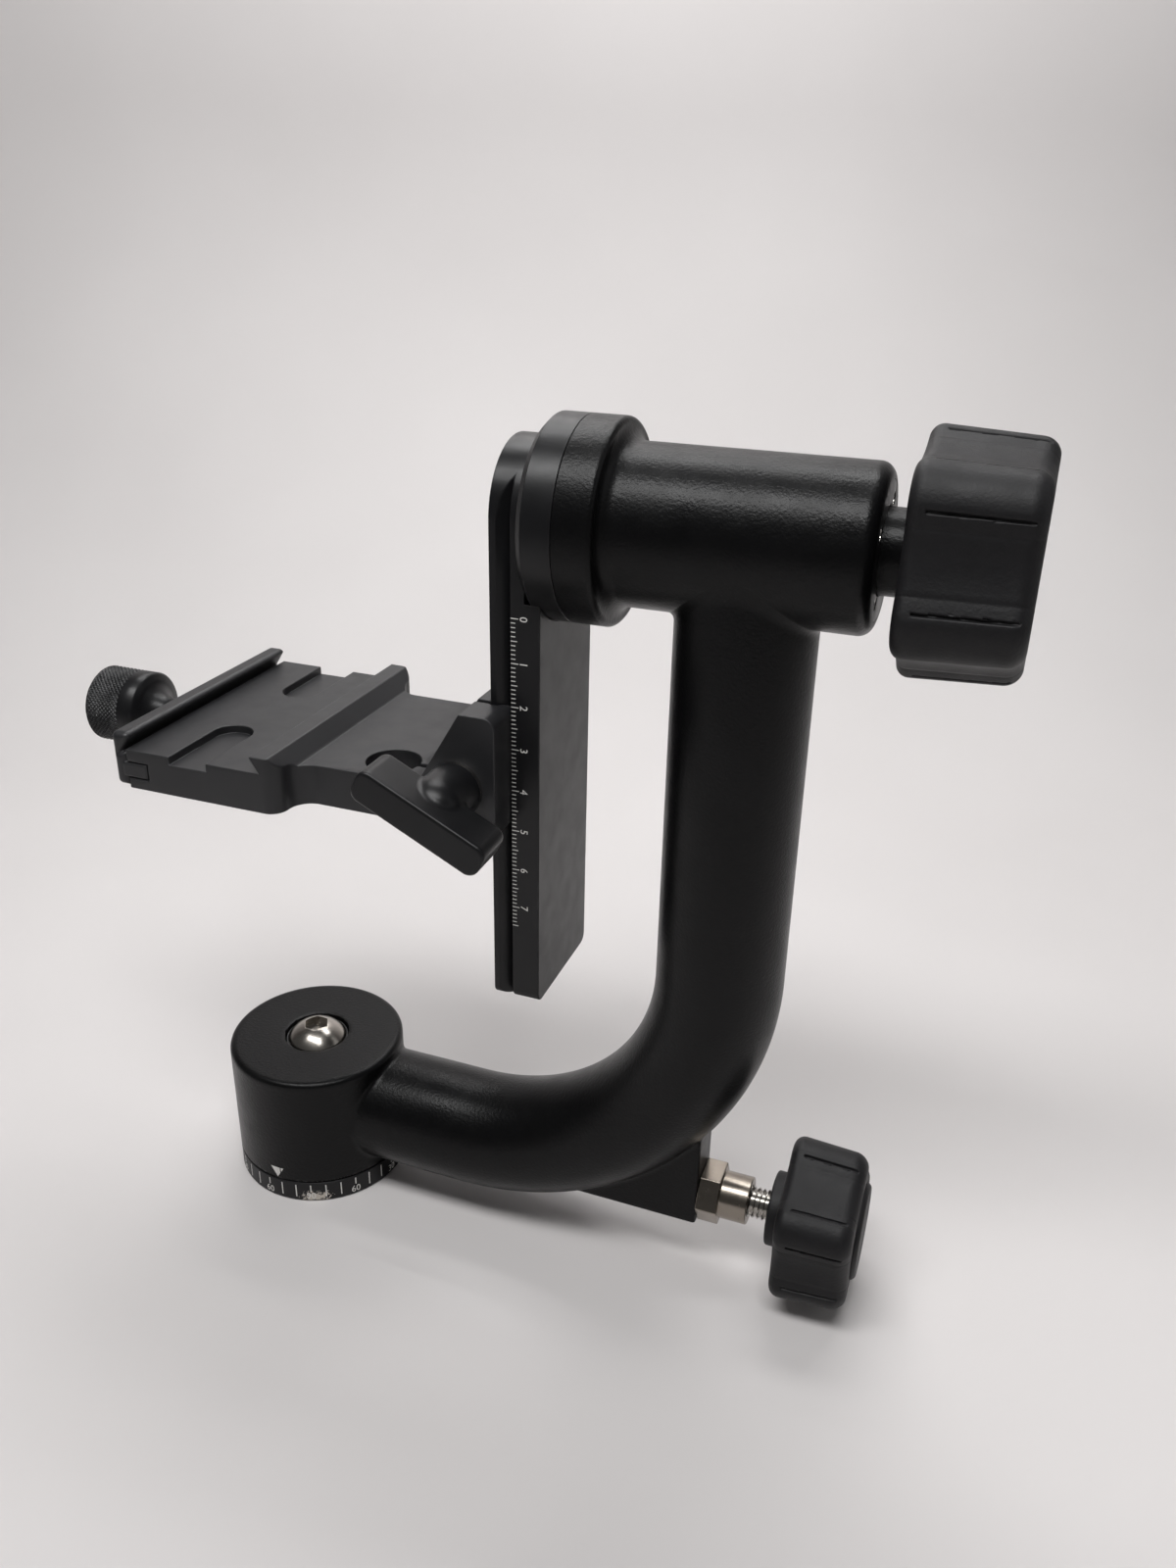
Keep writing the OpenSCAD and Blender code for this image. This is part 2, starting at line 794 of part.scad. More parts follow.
module pan_lock_knob() {
    color(plastic)
        difference() {
            union() {
                lobed_knob(lock_knob_r, lock_knob_len, lock_knob_x0, lock_z, lock_knob_phase);
                turn_x(lock_collar_x0, lock_z)
                    polygon([[0, 0], [lock_collar_d / 2 - lock_collar_edge, 0],
                             [lock_collar_d / 2, lock_collar_edge],
                             [lock_collar_d / 2, lock_collar_len + cut], [0, lock_collar_len + cut]]);
            }
            x_bar(lock_rod_d + 2 * press_fit, lock_collar_x0 - cut, lock_rod_x1, lock_z);
            x_bar(lock_cap_d + 2 * press_fit, lock_knob_x1 - cap_sink, lock_knob_x1 + cut, lock_z);
        }
}

// A round cover pressed into a knob's end
module knob_cap(d, x, proud, z) {
    color(plastic)
        turn_x(x, z)
            polygon([[0, 0], [d / 2, 0], [d / 2, cap_sink + proud - cap_edge],
                     [d / 2 - cap_edge, cap_sink + proud], [0, cap_sink + proud]]);
}

module pan_lock_cap() {
    knob_cap(lock_cap_d, lock_knob_x1 - cap_sink, lock_cap_proud, lock_z);
}

// Places children at both tilt bearings
module at_bearings() {
    for (x = [front_bearing_x, rear_bearing_x])
        translate([x, 0, 0])
            children();
}

module ball_groove() {
    translate([bearing_w / 2, 0, tilt_z])
        rotate([0, 90, 0])
            rotate_extrude()
                translate([ball_pcd / 2, 0])
                    circle(d = ball_d + 2 * run_fit);
}

module tilt_bearing_outer_races() {
    color(steel)
        at_bearings()
            difference() {
                x_tube(bearing_d, ball_pcd + race_gap, 0, bearing_w, tilt_z);
                ball_groove();
            }
}

module tilt_bearing_inner_races() {
    color(steel)
        at_bearings()
            difference() {
                x_tube(ball_pcd - race_gap, bearing_bore + 2 * press_fit, 0, bearing_w, tilt_z);
                ball_groove();
            }
}

module tilt_bearing_balls() {
    color(steel)
        at_bearings()
            translate([bearing_w / 2, 0, tilt_z])
                for (i = [0 : bearing_balls - 1])
                    rotate([i * 360 / bearing_balls, 0, 0])
                        translate([0, 0, ball_pcd / 2])
                            sphere(d = ball_d);
}

// Ring with spanner holes that closes the barrel
module tilt_end_cap() {
    color(black)
        difference() {
            x_tube(end_cap_d, sleeve_d + 2 * seam, barrel_x1 - end_cap_t, barrel_x1, tilt_z);
            for (i = [0 : spanner_holes - 1])
                translate([barrel_x1, 0, tilt_z])
                    rotate([spanner_turn + i * 360 / spanner_holes, 0, 0])
                        translate([-spanner_hole_depth, -spanner_pcd / 2, 0])
                            rotate([0, 90, 0])
                                cylinder(d = spanner_hole_d, h = spanner_hole_depth + cut);
        }
}

// Shaft through both bearings, with a head in the disc and a thread for the knob
module tilt_shaft() {
    color(steel)
        difference() {
            union() {
                x_bar(shaft_head_d, disc_x0, disc_x0 + shaft_head_t, tilt_z);
                x_bar(bearing_bore, disc_x0, shaft_shoulder_x, tilt_z);
                x_bar(tilt_thread_d, disc_x0, tilt_knob_x0 + insert_len - cut, tilt_z);
            }
            x_bar(bolt_d + 2 * press_fit, disc_x0 - cut, bolt_hole_x1, tilt_z);
        }
}

module tilt_spacer() {
    color(steel)
        x_tube(ball_pcd - race_gap, bearing_bore + 2 * press_fit, front_bearing_x + bearing_w + press_fit,
               rear_bearing_x - press_fit, tilt_z);
}

// The half of the flange that turns with the swing arm
module tilt_disc() {
    color(black)
        difference() {
            turn_x(disc_x0, tilt_z)
                polygon([[0, 0], [flange_d / 2 - disc_chamfer, 0], [flange_d / 2, disc_chamfer],
                         [flange_d / 2, disc_t - disc_edge], [flange_d / 2 - disc_edge, disc_t],
                         [0, disc_t]]);
            x_bar(bearing_bore + 2 * press_fit, disc_x0 - cut, disc_x1 + cut, tilt_z);
            x_bar(shaft_head_d + 2 * press_fit, disc_x0 - cut, disc_x0 + shaft_head_t, tilt_z);
            translate([disc_x1 - friction_recess, 0, 0])
                x_tube(friction_out_d + 2 * seam, friction_in_d - 2 * seam, 0, friction_recess + cut, tilt_z);
            arm_screw_places()
                x_bar(arm_screw_d + 2 * press_fit, disc_x0 - cut,
                      swing_x0 + arm_screw_head_h + arm_screw_len, 0);
        }
}

module arm_screw_places() {
    for (i = [0 : 1])
        translate([0, 0, tilt_z])
            rotate([i * 180, 0, 0])
                translate([0, 0, -arm_screw_pcd / 2])
                    children();
}

module tilt_friction_washer() {
    color(nylon)
        x_tube(friction_out_d, friction_in_d, disc_x1 - friction_recess, flange_x - run_fit, tilt_z);
}

// Section of the dovetail plate, grown by a clearance on its sides and its back face
module swing_section(c) {
    half = swing_w / 2 + c;
    waist = swing_w / 2 - dovetail_depth + c;
    x0 = swing_x0 - c;
    points = [[x0, half], [swing_x0 + lip_t + c, half], [swing_x0 + dovetail_t - c, waist],
              [swing_x0 + dovetail_t - c, half], [swing_x1, half]];
    flipped = [for (i = [len(points) - 1 : -1 : 0]) [points[i][0], -points[i][1]]];
    polygon(concat(points, flipped));
}

// The graduated dovetail plate that hangs from the tilt disc
module swing_arm() {
    r = swing_w / 2;
    color(black)
        difference() {
            intersection() {
                translate([0, 0, swing_z0])
                    linear_extrude(swing_drop + swing_rise + r)
                        swing_section(0);
                translate([swing_x0 - cut, 0, tilt_z + swing_rise])
                    rotate([0, 90, 0])
                        linear_extrude(swing_t + 2 * cut) {
                            circle(r);
                            translate([0, -r])
                                square([swing_drop + swing_rise - swing_round, 2 * r]);
                            translate([0, -r + swing_round])
                                square([swing_drop + swing_rise, 2 * (r - swing_round)]);
                            for (side = [-1, 1])
                                translate([swing_drop + swing_rise - swing_round, side * (r - swing_round)])
                                    circle(swing_round);
                        }
            }
            x_bar(flange_d + 2 * press_fit, disc_x0, swing_x1 + cut, tilt_z);
            x_bar(bolt_d + screw_play, swing_x0 - cut, swing_x1 + cut, tilt_z);
            x_bar(bolt_head_d + screw_play, swing_x0 - cut, swing_x0 + bolt_head_h, tilt_z);
            arm_screw_places() {
                x_bar(arm_screw_d + screw_play, swing_x0 - cut, swing_x1 + cut, 0);
                x_bar(arm_screw_head_d + screw_play, swing_x0 - cut, swing_x0 + arm_screw_head_h, 0);
            }
        }
}

// Socket-head screw along X with its head at a small x
module socket_screw(d, head_d, head_h, len) {
    difference() {
        union() {
            x_bar(head_d, head_sink, head_h, 0);
            x_bar(d, head_sink, head_h + len, 0);
        }
        translate([head_sink - cut, 0, 0])
            rotate([0, 90, 0])
                hexagon(d * key_share, head_h * key_depth_share + cut);
    }
}

module swing_arm_bolt() {
    color(steel)
        translate([swing_x0, 0, tilt_z])
            socket_screw(bolt_d, bolt_head_d, bolt_head_h, bolt_len);
}

module swing_arm_screws() {
    color(steel)
        arm_screw_places()
            translate([swing_x0, 0, 0])
                socket_screw(arm_screw_d, arm_screw_head_d, arm_screw_head_h, arm_screw_len - seam);
}

// Collar between the knob and the rear bearing
module tilt_sleeve() {
    color(black)
        x_tube(sleeve_d, tilt_thread_d + 4 * run_fit, sleeve_x0, tilt_knob_x0 - run_fit, tilt_z);
}

module tilt_knob() {
    color(plastic)
        difference() {
            lobed_knob(tilt_knob_r, tilt_knob_len, tilt_knob_x0, tilt_z, tilt_knob_phase);
            x_bar(insert_d + 2 * press_fit, tilt_knob_x0 - cut, tilt_knob_x0 + insert_len, tilt_z);
            x_bar(tilt_cap_d + 2 * press_fit, tilt_knob_x1 - cap_sink, tilt_knob_x1 + cut, tilt_z);
        }
}

module tilt_knob_insert() {
    color(brass)
        x_tube(insert_d, tilt_thread_d + 2 * run_fit,
               tilt_knob_x0, tilt_knob_x0 + insert_len - press_fit, tilt_z);
}

module tilt_knob_cap() {
    knob_cap(tilt_cap_d, tilt_knob_x1 - cap_sink, 0, tilt_z);
}

// Plan of the platform: the wide clamp, the round corners and the neck
module platform_plan() {
    half = clamp_len / 2;
    neck = neck_w / 2;
    translate([clamp_x0, -half])
        square([clamp_x1 - clamp_x0 - clamp_corner, clamp_len]);
    translate([clamp_x0, -half + clamp_corner])
        square([clamp_x1 - clamp_x0, clamp_len - 2 * clamp_corner]);
    translate([clamp_x0, -neck])
        square([ear_x1 - clamp_x0, neck_w]);
    for (side = [-1, 1]) {
        translate([clamp_x1 - clamp_corner, side * (half - clamp_corner)])
            circle(clamp_corner);
        mirror([0, side < 0 ? 1 : 0])
            translate([clamp_x1, neck])
                corner_fillet(min(neck_fillet, half - neck - clamp_corner));
    }
}

// Side view of the ears that grip the swing arm
module ear_side() {
    top_x = ear_x1 - ear_top;
    polygon([[ear_foot_x, plate_z1 - cut], [ear_foot_x, plate_z1], [top_x, ear_z1],
             [ear_x1 - ear_round, ear_z1], [ear_x1 - ear_round, plate_z1 - cut]]);
    translate([ear_x1 - ear_round - cut, plate_z0])
        square([ear_round + cut, ear_z1 - plate_z0 - ear_round]);
    translate([ear_x1 - ear_round, ear_z1 - ear_round])
        circle(ear_round);
}

// Side view of the fixed jaw, from its undercut tip to its sloping back
module fixed_jaw_side() {
    tip_x = jaw_root_x - jaw_over;
    polygon([[jaw_root_x, plate_z1 - cut], [jaw_root_x, plate_z1], [tip_x, plate_z1 + jaw_h - jaw_lip],
             [tip_x, plate_z1 + jaw_h], [tip_x + jaw_top, plate_z1 + jaw_h],
             [tip_x + jaw_top + jaw_back, plate_z1], [tip_x + jaw_top + jaw_back, plate_z1 - cut]]);
}

// Extrudes a side view along Y, centred on the part
module along_y(len) {
    translate([0, len / 2, 0])
        rotate([90, 0, 0])
            linear_extrude(len)
                children();
}

// Plate with the clamp floor, the fixed jaw and the split clamp for the swing arm
module platform() {
    color(black)
        difference() {
            union() {
                translate([0, 0, plate_z0])
                    linear_extrude(platform_t)
                        platform_plan();
                intersection() {
                    along_y(clamp_len)
                        fixed_jaw_side();
                    translate([0, 0, plate_z0])
                        linear_extrude(platform_t + jaw_h)
                            platform_plan();
                }
                along_y(neck_w)
                    ear_side();
            }
            translate([0, 0, plate_z0 - cut])
                linear_extrude(platform_t + ear_h + 2 * cut)
                    swing_section(slide_fit);
            translate([relief_x, relief_y, plate_z0 - cut])
                cylinder(d = relief_d, h = platform_t + 2 * cut);
            translate([relief_x, slit_y, plate_z0 - cut])
                cube([swing_x0 - relief_x, slit_w, platform_t + ear_h + 2 * cut]);
            y_bar(small_screw_d + screw_play, ear_y - cut, slit_y + cut, screw_x, screw_z);
            y_bar(small_screw_d + 2 * run_fit, slit_y, slit_y + slit_w + clamp_screw_in + cut,
                  screw_x, screw_z);
            clamp_pockets();
            along_y(clamp_len + 2 * cut)
                translate([clamp_x0 - cut, tongue_z - tongue_h / 2 - tongue_gap])
                    square([tongue_len + seam + cut, tongue_h + 2 * tongue_gap]);
            x_bar(small_screw_d + 2 * run_fit, clamp_x0, clamp_x0 + qr_screw_in + cut, tongue_z, qr_y);
            spring_places()
                x_bar(spring_hole_d, 0, spring_len + seam, 0);
        }
}

// Two shallow pockets in the floor, open at the clamp's ends
module clamp_pockets() {
    for (side = [-1, 1])
        mirror([0, side < 0 ? 1 : 0])
            translate([pocket_x, clamp_len / 2 - pocket_len, plate_z1 - pocket_depth])
                linear_extrude(pocket_depth + cut) {
                    translate([0, pocket_w / 2])
                        circle(d = pocket_w);
                    translate([-pocket_w / 2, pocket_w / 2])
                        square([pocket_w, pocket_len]);
                }
}

module spring_places() {
    for (side = [-1, 1])
        translate([clamp_x0 + tongue_len, side * spring_y, tongue_z])
            children();
}

// The jaw that the quick-release knob draws in
module qr_jaw() {
    tip_x = jaw_x1 + jaw_over - jaw_set;
    foot_z = plate_z0 + jaw_lift;
    top_z = plate_z1 + jaw_h;
    color(black)
        difference() {
            union() {
                along_y(clamp_len)
                    polygon([[jaw_x0 + jaw_foot_edge, foot_z], [jaw_x1, foot_z],
                             [jaw_x1, plate_z1 - jaw_under], [jaw_x1 - jaw_set, plate_z1],
                             [tip_x, top_z - 2 * jaw_lip], [tip_x, top_z - jaw_lip],
                             [tip_x - jaw_lip, top_z], [jaw_x0 + jaw_crown, top_z],
                             [jaw_x0, top_z - jaw_crown],
                             [jaw_x0, foot_z + jaw_foot_rise]]);
                along_y(clamp_len)
                    translate([jaw_x1 - cut, tongue_z - tongue_h / 2])
                        square([tongue_len + slide_fit + cut, tongue_h]);
            }
            x_bar(small_screw_d + screw_play, jaw_x0 - cut, clamp_x0 + tongue_len + cut, tongue_z, qr_y);
        }
}

// Points round the wire of a spring at a turn angle
function spring_ring(a, sides) =
    let (r = spring_d / 2, wire = spring_wire / 2, pitch = (spring_len - 2 * spring_wire) / spring_turns)
    [for (k = [0 : sides - 1])
        let (b = k * 360 / sides, q = r + wire * cos(b))
        [spring_wire + a / 360 * pitch + wire * sin(b), q * cos(a), q * sin(a)]];

// One helical spring along X
module spring() {
    sides = spring_sides;
    steps = spring_steps * spring_turns;
    points = [for (i = [0 : steps]) each spring_ring(i * 360 / spring_steps, sides)];
    skin = [for (i = [0 : steps - 1], k = [0 : sides - 1])
        each let (a = i * sides + k, b = i * sides + (k + 1) % sides)
            [[a, b, a + sides], [b, b + sides, a + sides]]];
    first = [for (k = [1 : sides - 2]) [0, k + 1, k]];
    last = [for (k = [1 : sides - 2]) [steps * sides, steps * sides + k, steps * sides + k + 1]];
    polyhedron(points, concat(skin, first, last));
}

module qr_springs() {
    color(steel)
        spring_places()
            translate([seam, 0, 0])
                spring();
}

module qr_screw() {
    color(steel)
        x_bar(small_screw_d, qr_grip_x - qr_screw_out, clamp_x0 + qr_screw_in, tongue_z, qr_y);
}

module qr_washer() {
    color(steel)
        x_tube(qr_washer_d, small_screw_d + screw_play, qr_stem_x + press_fit, jaw_x0, tongue_z);
}

// Knurled knob with a hollow front and a plain stem
module qr_knob() {
    r = qr_knob_d / 2;
    stem = qr_stem_d / 2;
    hollow = r - qr_rim - stem;
    color(black)
        difference() {
            turn_x(qr_end_x, tongue_z) {
                polygon([[0, 0], [r - qr_edge, 0], [r, qr_edge], [r, qr_grip_len - qr_rim],
                         [r - qr_rim, qr_grip_len], [0, qr_grip_len]]);
                square([stem, qr_stem_x - qr_end_x]);
                translate([stem, qr_grip_len])
                    corner_fillet(hollow);
            }
            x_bar(small_screw_d + 2 * press_fit, qr_grip_x - qr_screw_out, qr_stem_x + cut, tongue_z);
        }
}

module clamp_washer() {
    color(steel)
        difference() {
            y_bar(clamp_washer_d, handle_y0 + press_fit, ear_y, screw_x, screw_z);
            y_bar(small_screw_d + screw_play, handle_y0 - cut, ear_y + cut, screw_x, screw_z);
        }
}

module clamp_screw() {
    color(steel)
        y_bar(small_screw_d, bar_y0 - bar_depth / 2, slit_y + slit_w + clamp_screw_in, screw_x, screw_z);
}

// Bar handle with a domed hub
module clamp_handle() {
    color(black)
        difference() {
            union() {
                y_bar(handle_hub_d, dome_y, handle_y0, screw_x, screw_z);
                translate([screw_x, dome_y, screw_z])
                    sphere(d = handle_hub_d);
                translate([screw_x, bar_y0, screw_z])
                    rotate([0, bar_slope, 0])
                        rotate([90, 0, 0])
                            linear_extrude(bar_depth)
                                round_rect(bar_len, bar_t, bar_round);
            }
            y_bar(small_screw_d + 2 * press_fit, bar_y0 - bar_depth / 2, handle_y0 + cut, screw_x, screw_z);
        }
}

base_ring();
pan_axle();
axle_screws();
pan_thrust_washer();
pan_bush_lower();
pan_bush_upper();
pan_cap_washer();
pan_screw();
yoke_arm();
pan_lock_bush();
pan_brake_shoe();
pan_lock_rod();
pan_lock_knob();
pan_lock_cap();
tilt_bearing_outer_races();
tilt_bearing_inner_races();
tilt_bearing_balls();
tilt_end_cap();
tilt_shaft();
tilt_spacer();
tilt_disc();
tilt_friction_washer();
swing_arm();
swing_arm_bolt();
swing_arm_screws();
tilt_sleeve();
tilt_knob();
tilt_knob_insert();
tilt_knob_cap();
platform();
clamp_washer();
clamp_screw();
clamp_handle();
qr_jaw();
qr_springs();
qr_screw();
qr_washer();
qr_knob();
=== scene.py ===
# Looks of the gimbal head: cast, moulded and knurled forms, finishes, scales, light and camera.
import json
import math

import bmesh
import bpy
import numpy as np
from mathutils import Matrix, Vector

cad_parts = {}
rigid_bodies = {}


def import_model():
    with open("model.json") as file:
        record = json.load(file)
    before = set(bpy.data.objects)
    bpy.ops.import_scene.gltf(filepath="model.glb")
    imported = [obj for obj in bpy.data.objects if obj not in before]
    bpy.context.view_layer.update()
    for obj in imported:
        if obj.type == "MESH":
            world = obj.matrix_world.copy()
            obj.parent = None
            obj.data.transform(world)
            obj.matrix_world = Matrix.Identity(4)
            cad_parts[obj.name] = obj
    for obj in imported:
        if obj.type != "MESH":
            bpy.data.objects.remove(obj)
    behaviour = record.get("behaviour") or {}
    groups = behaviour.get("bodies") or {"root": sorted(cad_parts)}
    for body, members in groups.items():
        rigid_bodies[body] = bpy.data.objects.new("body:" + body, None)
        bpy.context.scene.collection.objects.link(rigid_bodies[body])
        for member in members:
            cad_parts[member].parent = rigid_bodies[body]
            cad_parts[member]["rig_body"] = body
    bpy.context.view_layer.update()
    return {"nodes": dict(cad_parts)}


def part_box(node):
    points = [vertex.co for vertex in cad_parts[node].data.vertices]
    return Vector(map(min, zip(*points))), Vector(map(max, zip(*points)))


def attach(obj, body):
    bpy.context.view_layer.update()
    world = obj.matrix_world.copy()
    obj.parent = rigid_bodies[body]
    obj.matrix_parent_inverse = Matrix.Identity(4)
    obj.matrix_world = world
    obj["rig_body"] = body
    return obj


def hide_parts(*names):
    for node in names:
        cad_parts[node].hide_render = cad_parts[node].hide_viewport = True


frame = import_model()
nodes = frame["nodes"]
scene = bpy.context.scene
MM = 0.001

# Main sizes of the solids, in millimetres
BASE_R = 23.9
HUB_Z0 = 6.6
HUB_Z1 = 40.0
HUB_ROUND = 1.6
TUBE_R = 15.25
ARM_Z = 22.0
LOCK_Z = 21.4
BEND_R = 66.0
REACH = 114.2
BEND_X = REACH - BEND_R
BEND_Z = ARM_Z + BEND_R
TILT_Z = 193.3
BARREL_R = 17.1
BARREL_X1 = 140.6
FLANGE_R = 21.8
FLANGE_X0 = 78.5
FLANGE_X1 = 86.8
FLANGE_EDGE = 1.3
FLANGE_FILLET = 3.1
BARREL_ROUND = 3.0
BEARING_R = 12.01
BEARING_X0 = 86.5
BEARING_X1 = 130.75
BARREL_BORE_R = 9.0
CAP_SEAT_R = 13.91
CAP_SEAT_X = 136.8
SPANNER_R = 10.8
SPANNER_HOLE_R = 1.4
SPANNER_DEPTH = 2.1
GUSSET_Z0 = 14.4
GUSSET_X0 = 80.0
GUSSET_X1 = 113.9
GUSSET_HALF = 6.2
SWING_HALF = 15.75
DOVETAIL_X = 67.2
JAW_HALF = 33.4
QR_Z = 131.4
SCREW_X = 58.0
SCREW_Z = 137.6
KNOB_ROUND = 2.8
KNOB_END_ROUND = 3.6
KNOB_TAPER = 0.05
THREAD_R = 4.0
THREAD_X0 = 112.0
THREAD_X1 = 150.0
PRINT_THICKNESS = 0.07
PRINT_SINK = 0.05

# The photo's camera: angles in degrees, focal length and picture height in pixels, place in millimetres
VIEW_AZIMUTH = 19.77
VIEW_ELEVATION = 25.15
VIEW_ROLL = 1.22
FOCAL_PIXELS = 1277.85
IMAGE_HEIGHT = 1600
SENSOR_HEIGHT = 36
CAMERA_PLACE = (168.71, -247.55, 255.27)


# Node-based materials

def new_material(name):
    mat = bpy.data.materials.new(name)
    mat.use_nodes = True
    tree = mat.node_tree
    tree.nodes.clear()
    out = tree.nodes.new("ShaderNodeOutputMaterial")
    shader = tree.nodes.new("ShaderNodeBsdfPrincipled")
    tree.links.new(shader.outputs[0], out.inputs[0])
    return mat, tree, shader


def add_node(tree, kind, **settings):
    node = tree.nodes.new(kind)
    for key, value in settings.items():
        if hasattr(node, key):
            setattr(node, key, value)
        else:
            node.inputs[key].default_value = value
    return node


def noise(tree, scale, detail=2.0, rough=0.5):
    """Noise in the piece's own frame; scale is features per metre."""
    coords = add_node(tree, "ShaderNodeTexCoord")
    tex = add_node(tree, "ShaderNodeTexNoise", Scale=scale, Detail=detail, Roughness=rough)
    tree.links.new(coords.outputs["Object"], tex.inputs["Vector"])
    return tex.outputs["Fac"]


def remap(tree, value, low, high, out_low, out_high):
    node = add_node(tree, "ShaderNodeMapRange")
    for socket, number in zip(("From Min", "From Max", "To Min", "To Max"), (low, high, out_low, out_high)):
        node.inputs[socket].default_value = number
    tree.links.new(value, node.inputs["Value"])
    return node.outputs["Result"]


def blend_colour(tree, factor, first, second):
    node = add_node(tree, "ShaderNodeMix", data_type="RGBA")
    tree.links.new(factor, node.inputs["Factor"])
    for socket, colour in ((6, first), (7, second)):
        if isinstance(colour, tuple):
            node.inputs[socket].default_value = (*colour, 1)
        else:
            tree.links.new(colour, node.inputs[socket])
    return node.outputs[2]


def math_node(tree, operation, a, b):
    node = add_node(tree, "ShaderNodeMath", operation=operation)
    for socket, value in zip(node.inputs, (a, b)):
        if isinstance(value, (int, float)):
            socket.default_value = value
        else:
            tree.links.new(value, socket)
    return node.outputs[0]


def edge_mask(tree, radius):
    """One on a sharp outer edge, nought on a flat face."""
    bevel = add_node(tree, "ShaderNodeBevel", samples=6, Radius=radius)
    geometry = add_node(tree, "ShaderNodeNewGeometry")
    dot = add_node(tree, "ShaderNodeVectorMath", operation="DOT_PRODUCT")
    tree.links.new(bevel.outputs[0], dot.inputs[0])
    tree.links.new(geometry.outputs["Normal"], dot.inputs[1])
    return remap(tree, dot.outputs["Value"], 0.97, 0.75, 0.0, 1.0)


def grain(tree, shader, coarse, fine, depth):
    """Bump from two sizes of noise; depth in metres."""
    low = noise(tree, coarse, 1.0)
    high = noise(tree, fine, 2.0)
    height = math_node(tree, "ADD", low, math_node(tree, "MULTIPLY", high, 0.5))
    bump = add_node(tree, "ShaderNodeBump", Strength=1.0, Distance=depth)
    tree.links.new(height, bump.inputs["Height"])
    tree.links.new(bump.outputs[0], shader.inputs["Normal"])


def coated(name, colour, rough, coarse, fine, depth, shine=0.3, edge_wear_and_highlight=None, edge_wear_and_highlight_strength=0.0):
    """A black coat with a fine skin, uneven gloss, and outer edges lightened partly as rubbed wear and
    partly as a painted highlight.
    """
    mat, tree, shader = new_material(name)
    cloud = noise(tree, 55.0, 3.0)
    pale = tuple(1.25 * c for c in colour)
    tint = blend_colour(tree, remap(tree, cloud, 0.35, 0.7, 0.0, 1.0), colour, pale)
    # Painted highlight: sharp outer edges are lightened towards a pale colour, partly for rubbed wear and
    # partly for the light the edges catch.
    if edge_wear_and_highlight:
        rub_and_highlight = math_node(tree, "MULTIPLY", edge_mask(tree, 0.0005),
                        remap(tree, noise(tree, 240.0, 4.0), 0.42, 0.62, 0.15, edge_wear_and_highlight_strength))
        tint = blend_colour(tree, rub_and_highlight, tint, edge_wear_and_highlight)
    tree.links.new(tint, shader.inputs["Base Color"])
    gloss = remap(tree, noise(tree, 160.0, 4.0), 0.3, 0.7, rough - 0.04, rough + 0.05)
    tree.links.new(gloss, shader.inputs["Roughness"])
    shader.inputs["Specular IOR Level"].default_value = shine
    grain(tree, shader, coarse, fine, depth)
    return mat


def metal(name, colour, rough, turned=None):
    """Bare or plated metal; turned is the axis that fine turning marks run round."""
    mat, tree, shader = new_material(name)
    shader.inputs["Metallic"].default_value = 1.0
    cloud = noise(tree, 300.0, 4.0)
    dull = tuple(0.95 * c for c in colour)
    tint = blend_colour(tree, remap(tree, cloud, 0.35, 0.7, 0.0, 1.0), colour, dull)
    tree.links.new(tint, shader.inputs["Base Color"])
    gloss = remap(tree, noise(tree, 700.0, 3.0), 0.3, 0.7, rough * 0.93, rough * 1.1)
    tree.links.new(gloss, shader.inputs["Roughness"])
    if turned is not None:
        coords = add_node(tree, "ShaderNodeTexCoord")
        stretch = add_node(tree, "ShaderNodeMapping")
        scale = [40.0, 40.0, 40.0]
        scale[turned] = 3000.0
        stretch.inputs["Scale"].default_value = scale
        tree.links.new(coords.outputs["Object"], stretch.inputs["Vector"])
        lines = add_node(tree, "ShaderNodeTexNoise", Scale=1.0, Detail=2.0)
        tree.links.new(stretch.outputs[0], lines.inputs["Vector"])
        bump = add_node(tree, "ShaderNodeBump", Strength=0.3, Distance=0.00001)
        tree.links.new(lines.outputs["Fac"], bump.inputs["Height"])
        tree.links.new(bump.outputs[0], shader.inputs["Normal"])
    return mat


def plain(name, colour, rough, scale=400.0):
    """Paint or plain plastic with a little unevenness."""
    mat, tree, shader = new_material(name)
    cloud = remap(tree, noise(tree, scale, 3.0), 0.35, 0.7, 0.0, 1.0)
    tint = blend_colour(tree, cloud, colour, tuple(0.82 * c for c in colour))
    tree.links.new(tint, shader.inputs["Base Color"])
    shader.inputs["Roughness"].default_value = rough
    return mat


def ring_material():
    """The ring's anodising, scraped to bare metal on its lower edge in one place."""
    mat = coated("ring_anodised", (0.008, 0.008, 0.009), 0.42, 2500.0, 6000.0, 0.00001)
    tree = mat.node_tree
    shader = next(n for n in tree.nodes if n.type == "BSDF_PRINCIPLED")
    centre = math.radians(-66)
    coords = add_node(tree, "ShaderNodeTexCoord")
    place = add_node(tree, "ShaderNodeMapping", vector_type="TEXTURE")
    r = BASE_R * MM
    place.inputs["Location"].default_value = (r * math.cos(centre), r * math.sin(centre), 0.0016)
    place.inputs["Rotation"].default_value = (0, 0, centre + math.pi / 2)
    place.inputs["Scale"].default_value = (0.0038, 0.004, 0.0019)
    tree.links.new(coords.outputs["Object"], place.inputs["Vector"])
    reach = add_node(tree, "ShaderNodeVectorMath", operation="LENGTH")
    tree.links.new(place.outputs[0], reach.inputs[0])
    ragged = math_node(tree, "ADD", reach.outputs["Value"],
                       remap(tree, noise(tree, 1300.0, 5.0, 0.7), 0.3, 0.7, -0.8, 0.8))
    bare = remap(tree, ragged, 0.95, 0.75, 0.0, 1.0)
    old = shader.inputs["Base Color"].links[0].from_socket
    tree.links.new(blend_colour(tree, bare, old, (0.62, 0.58, 0.52)), shader.inputs["Base Color"])
    tree.links.new(math_node(tree, "MULTIPLY", bare, 0.85), shader.inputs["Metallic"])
    return mat


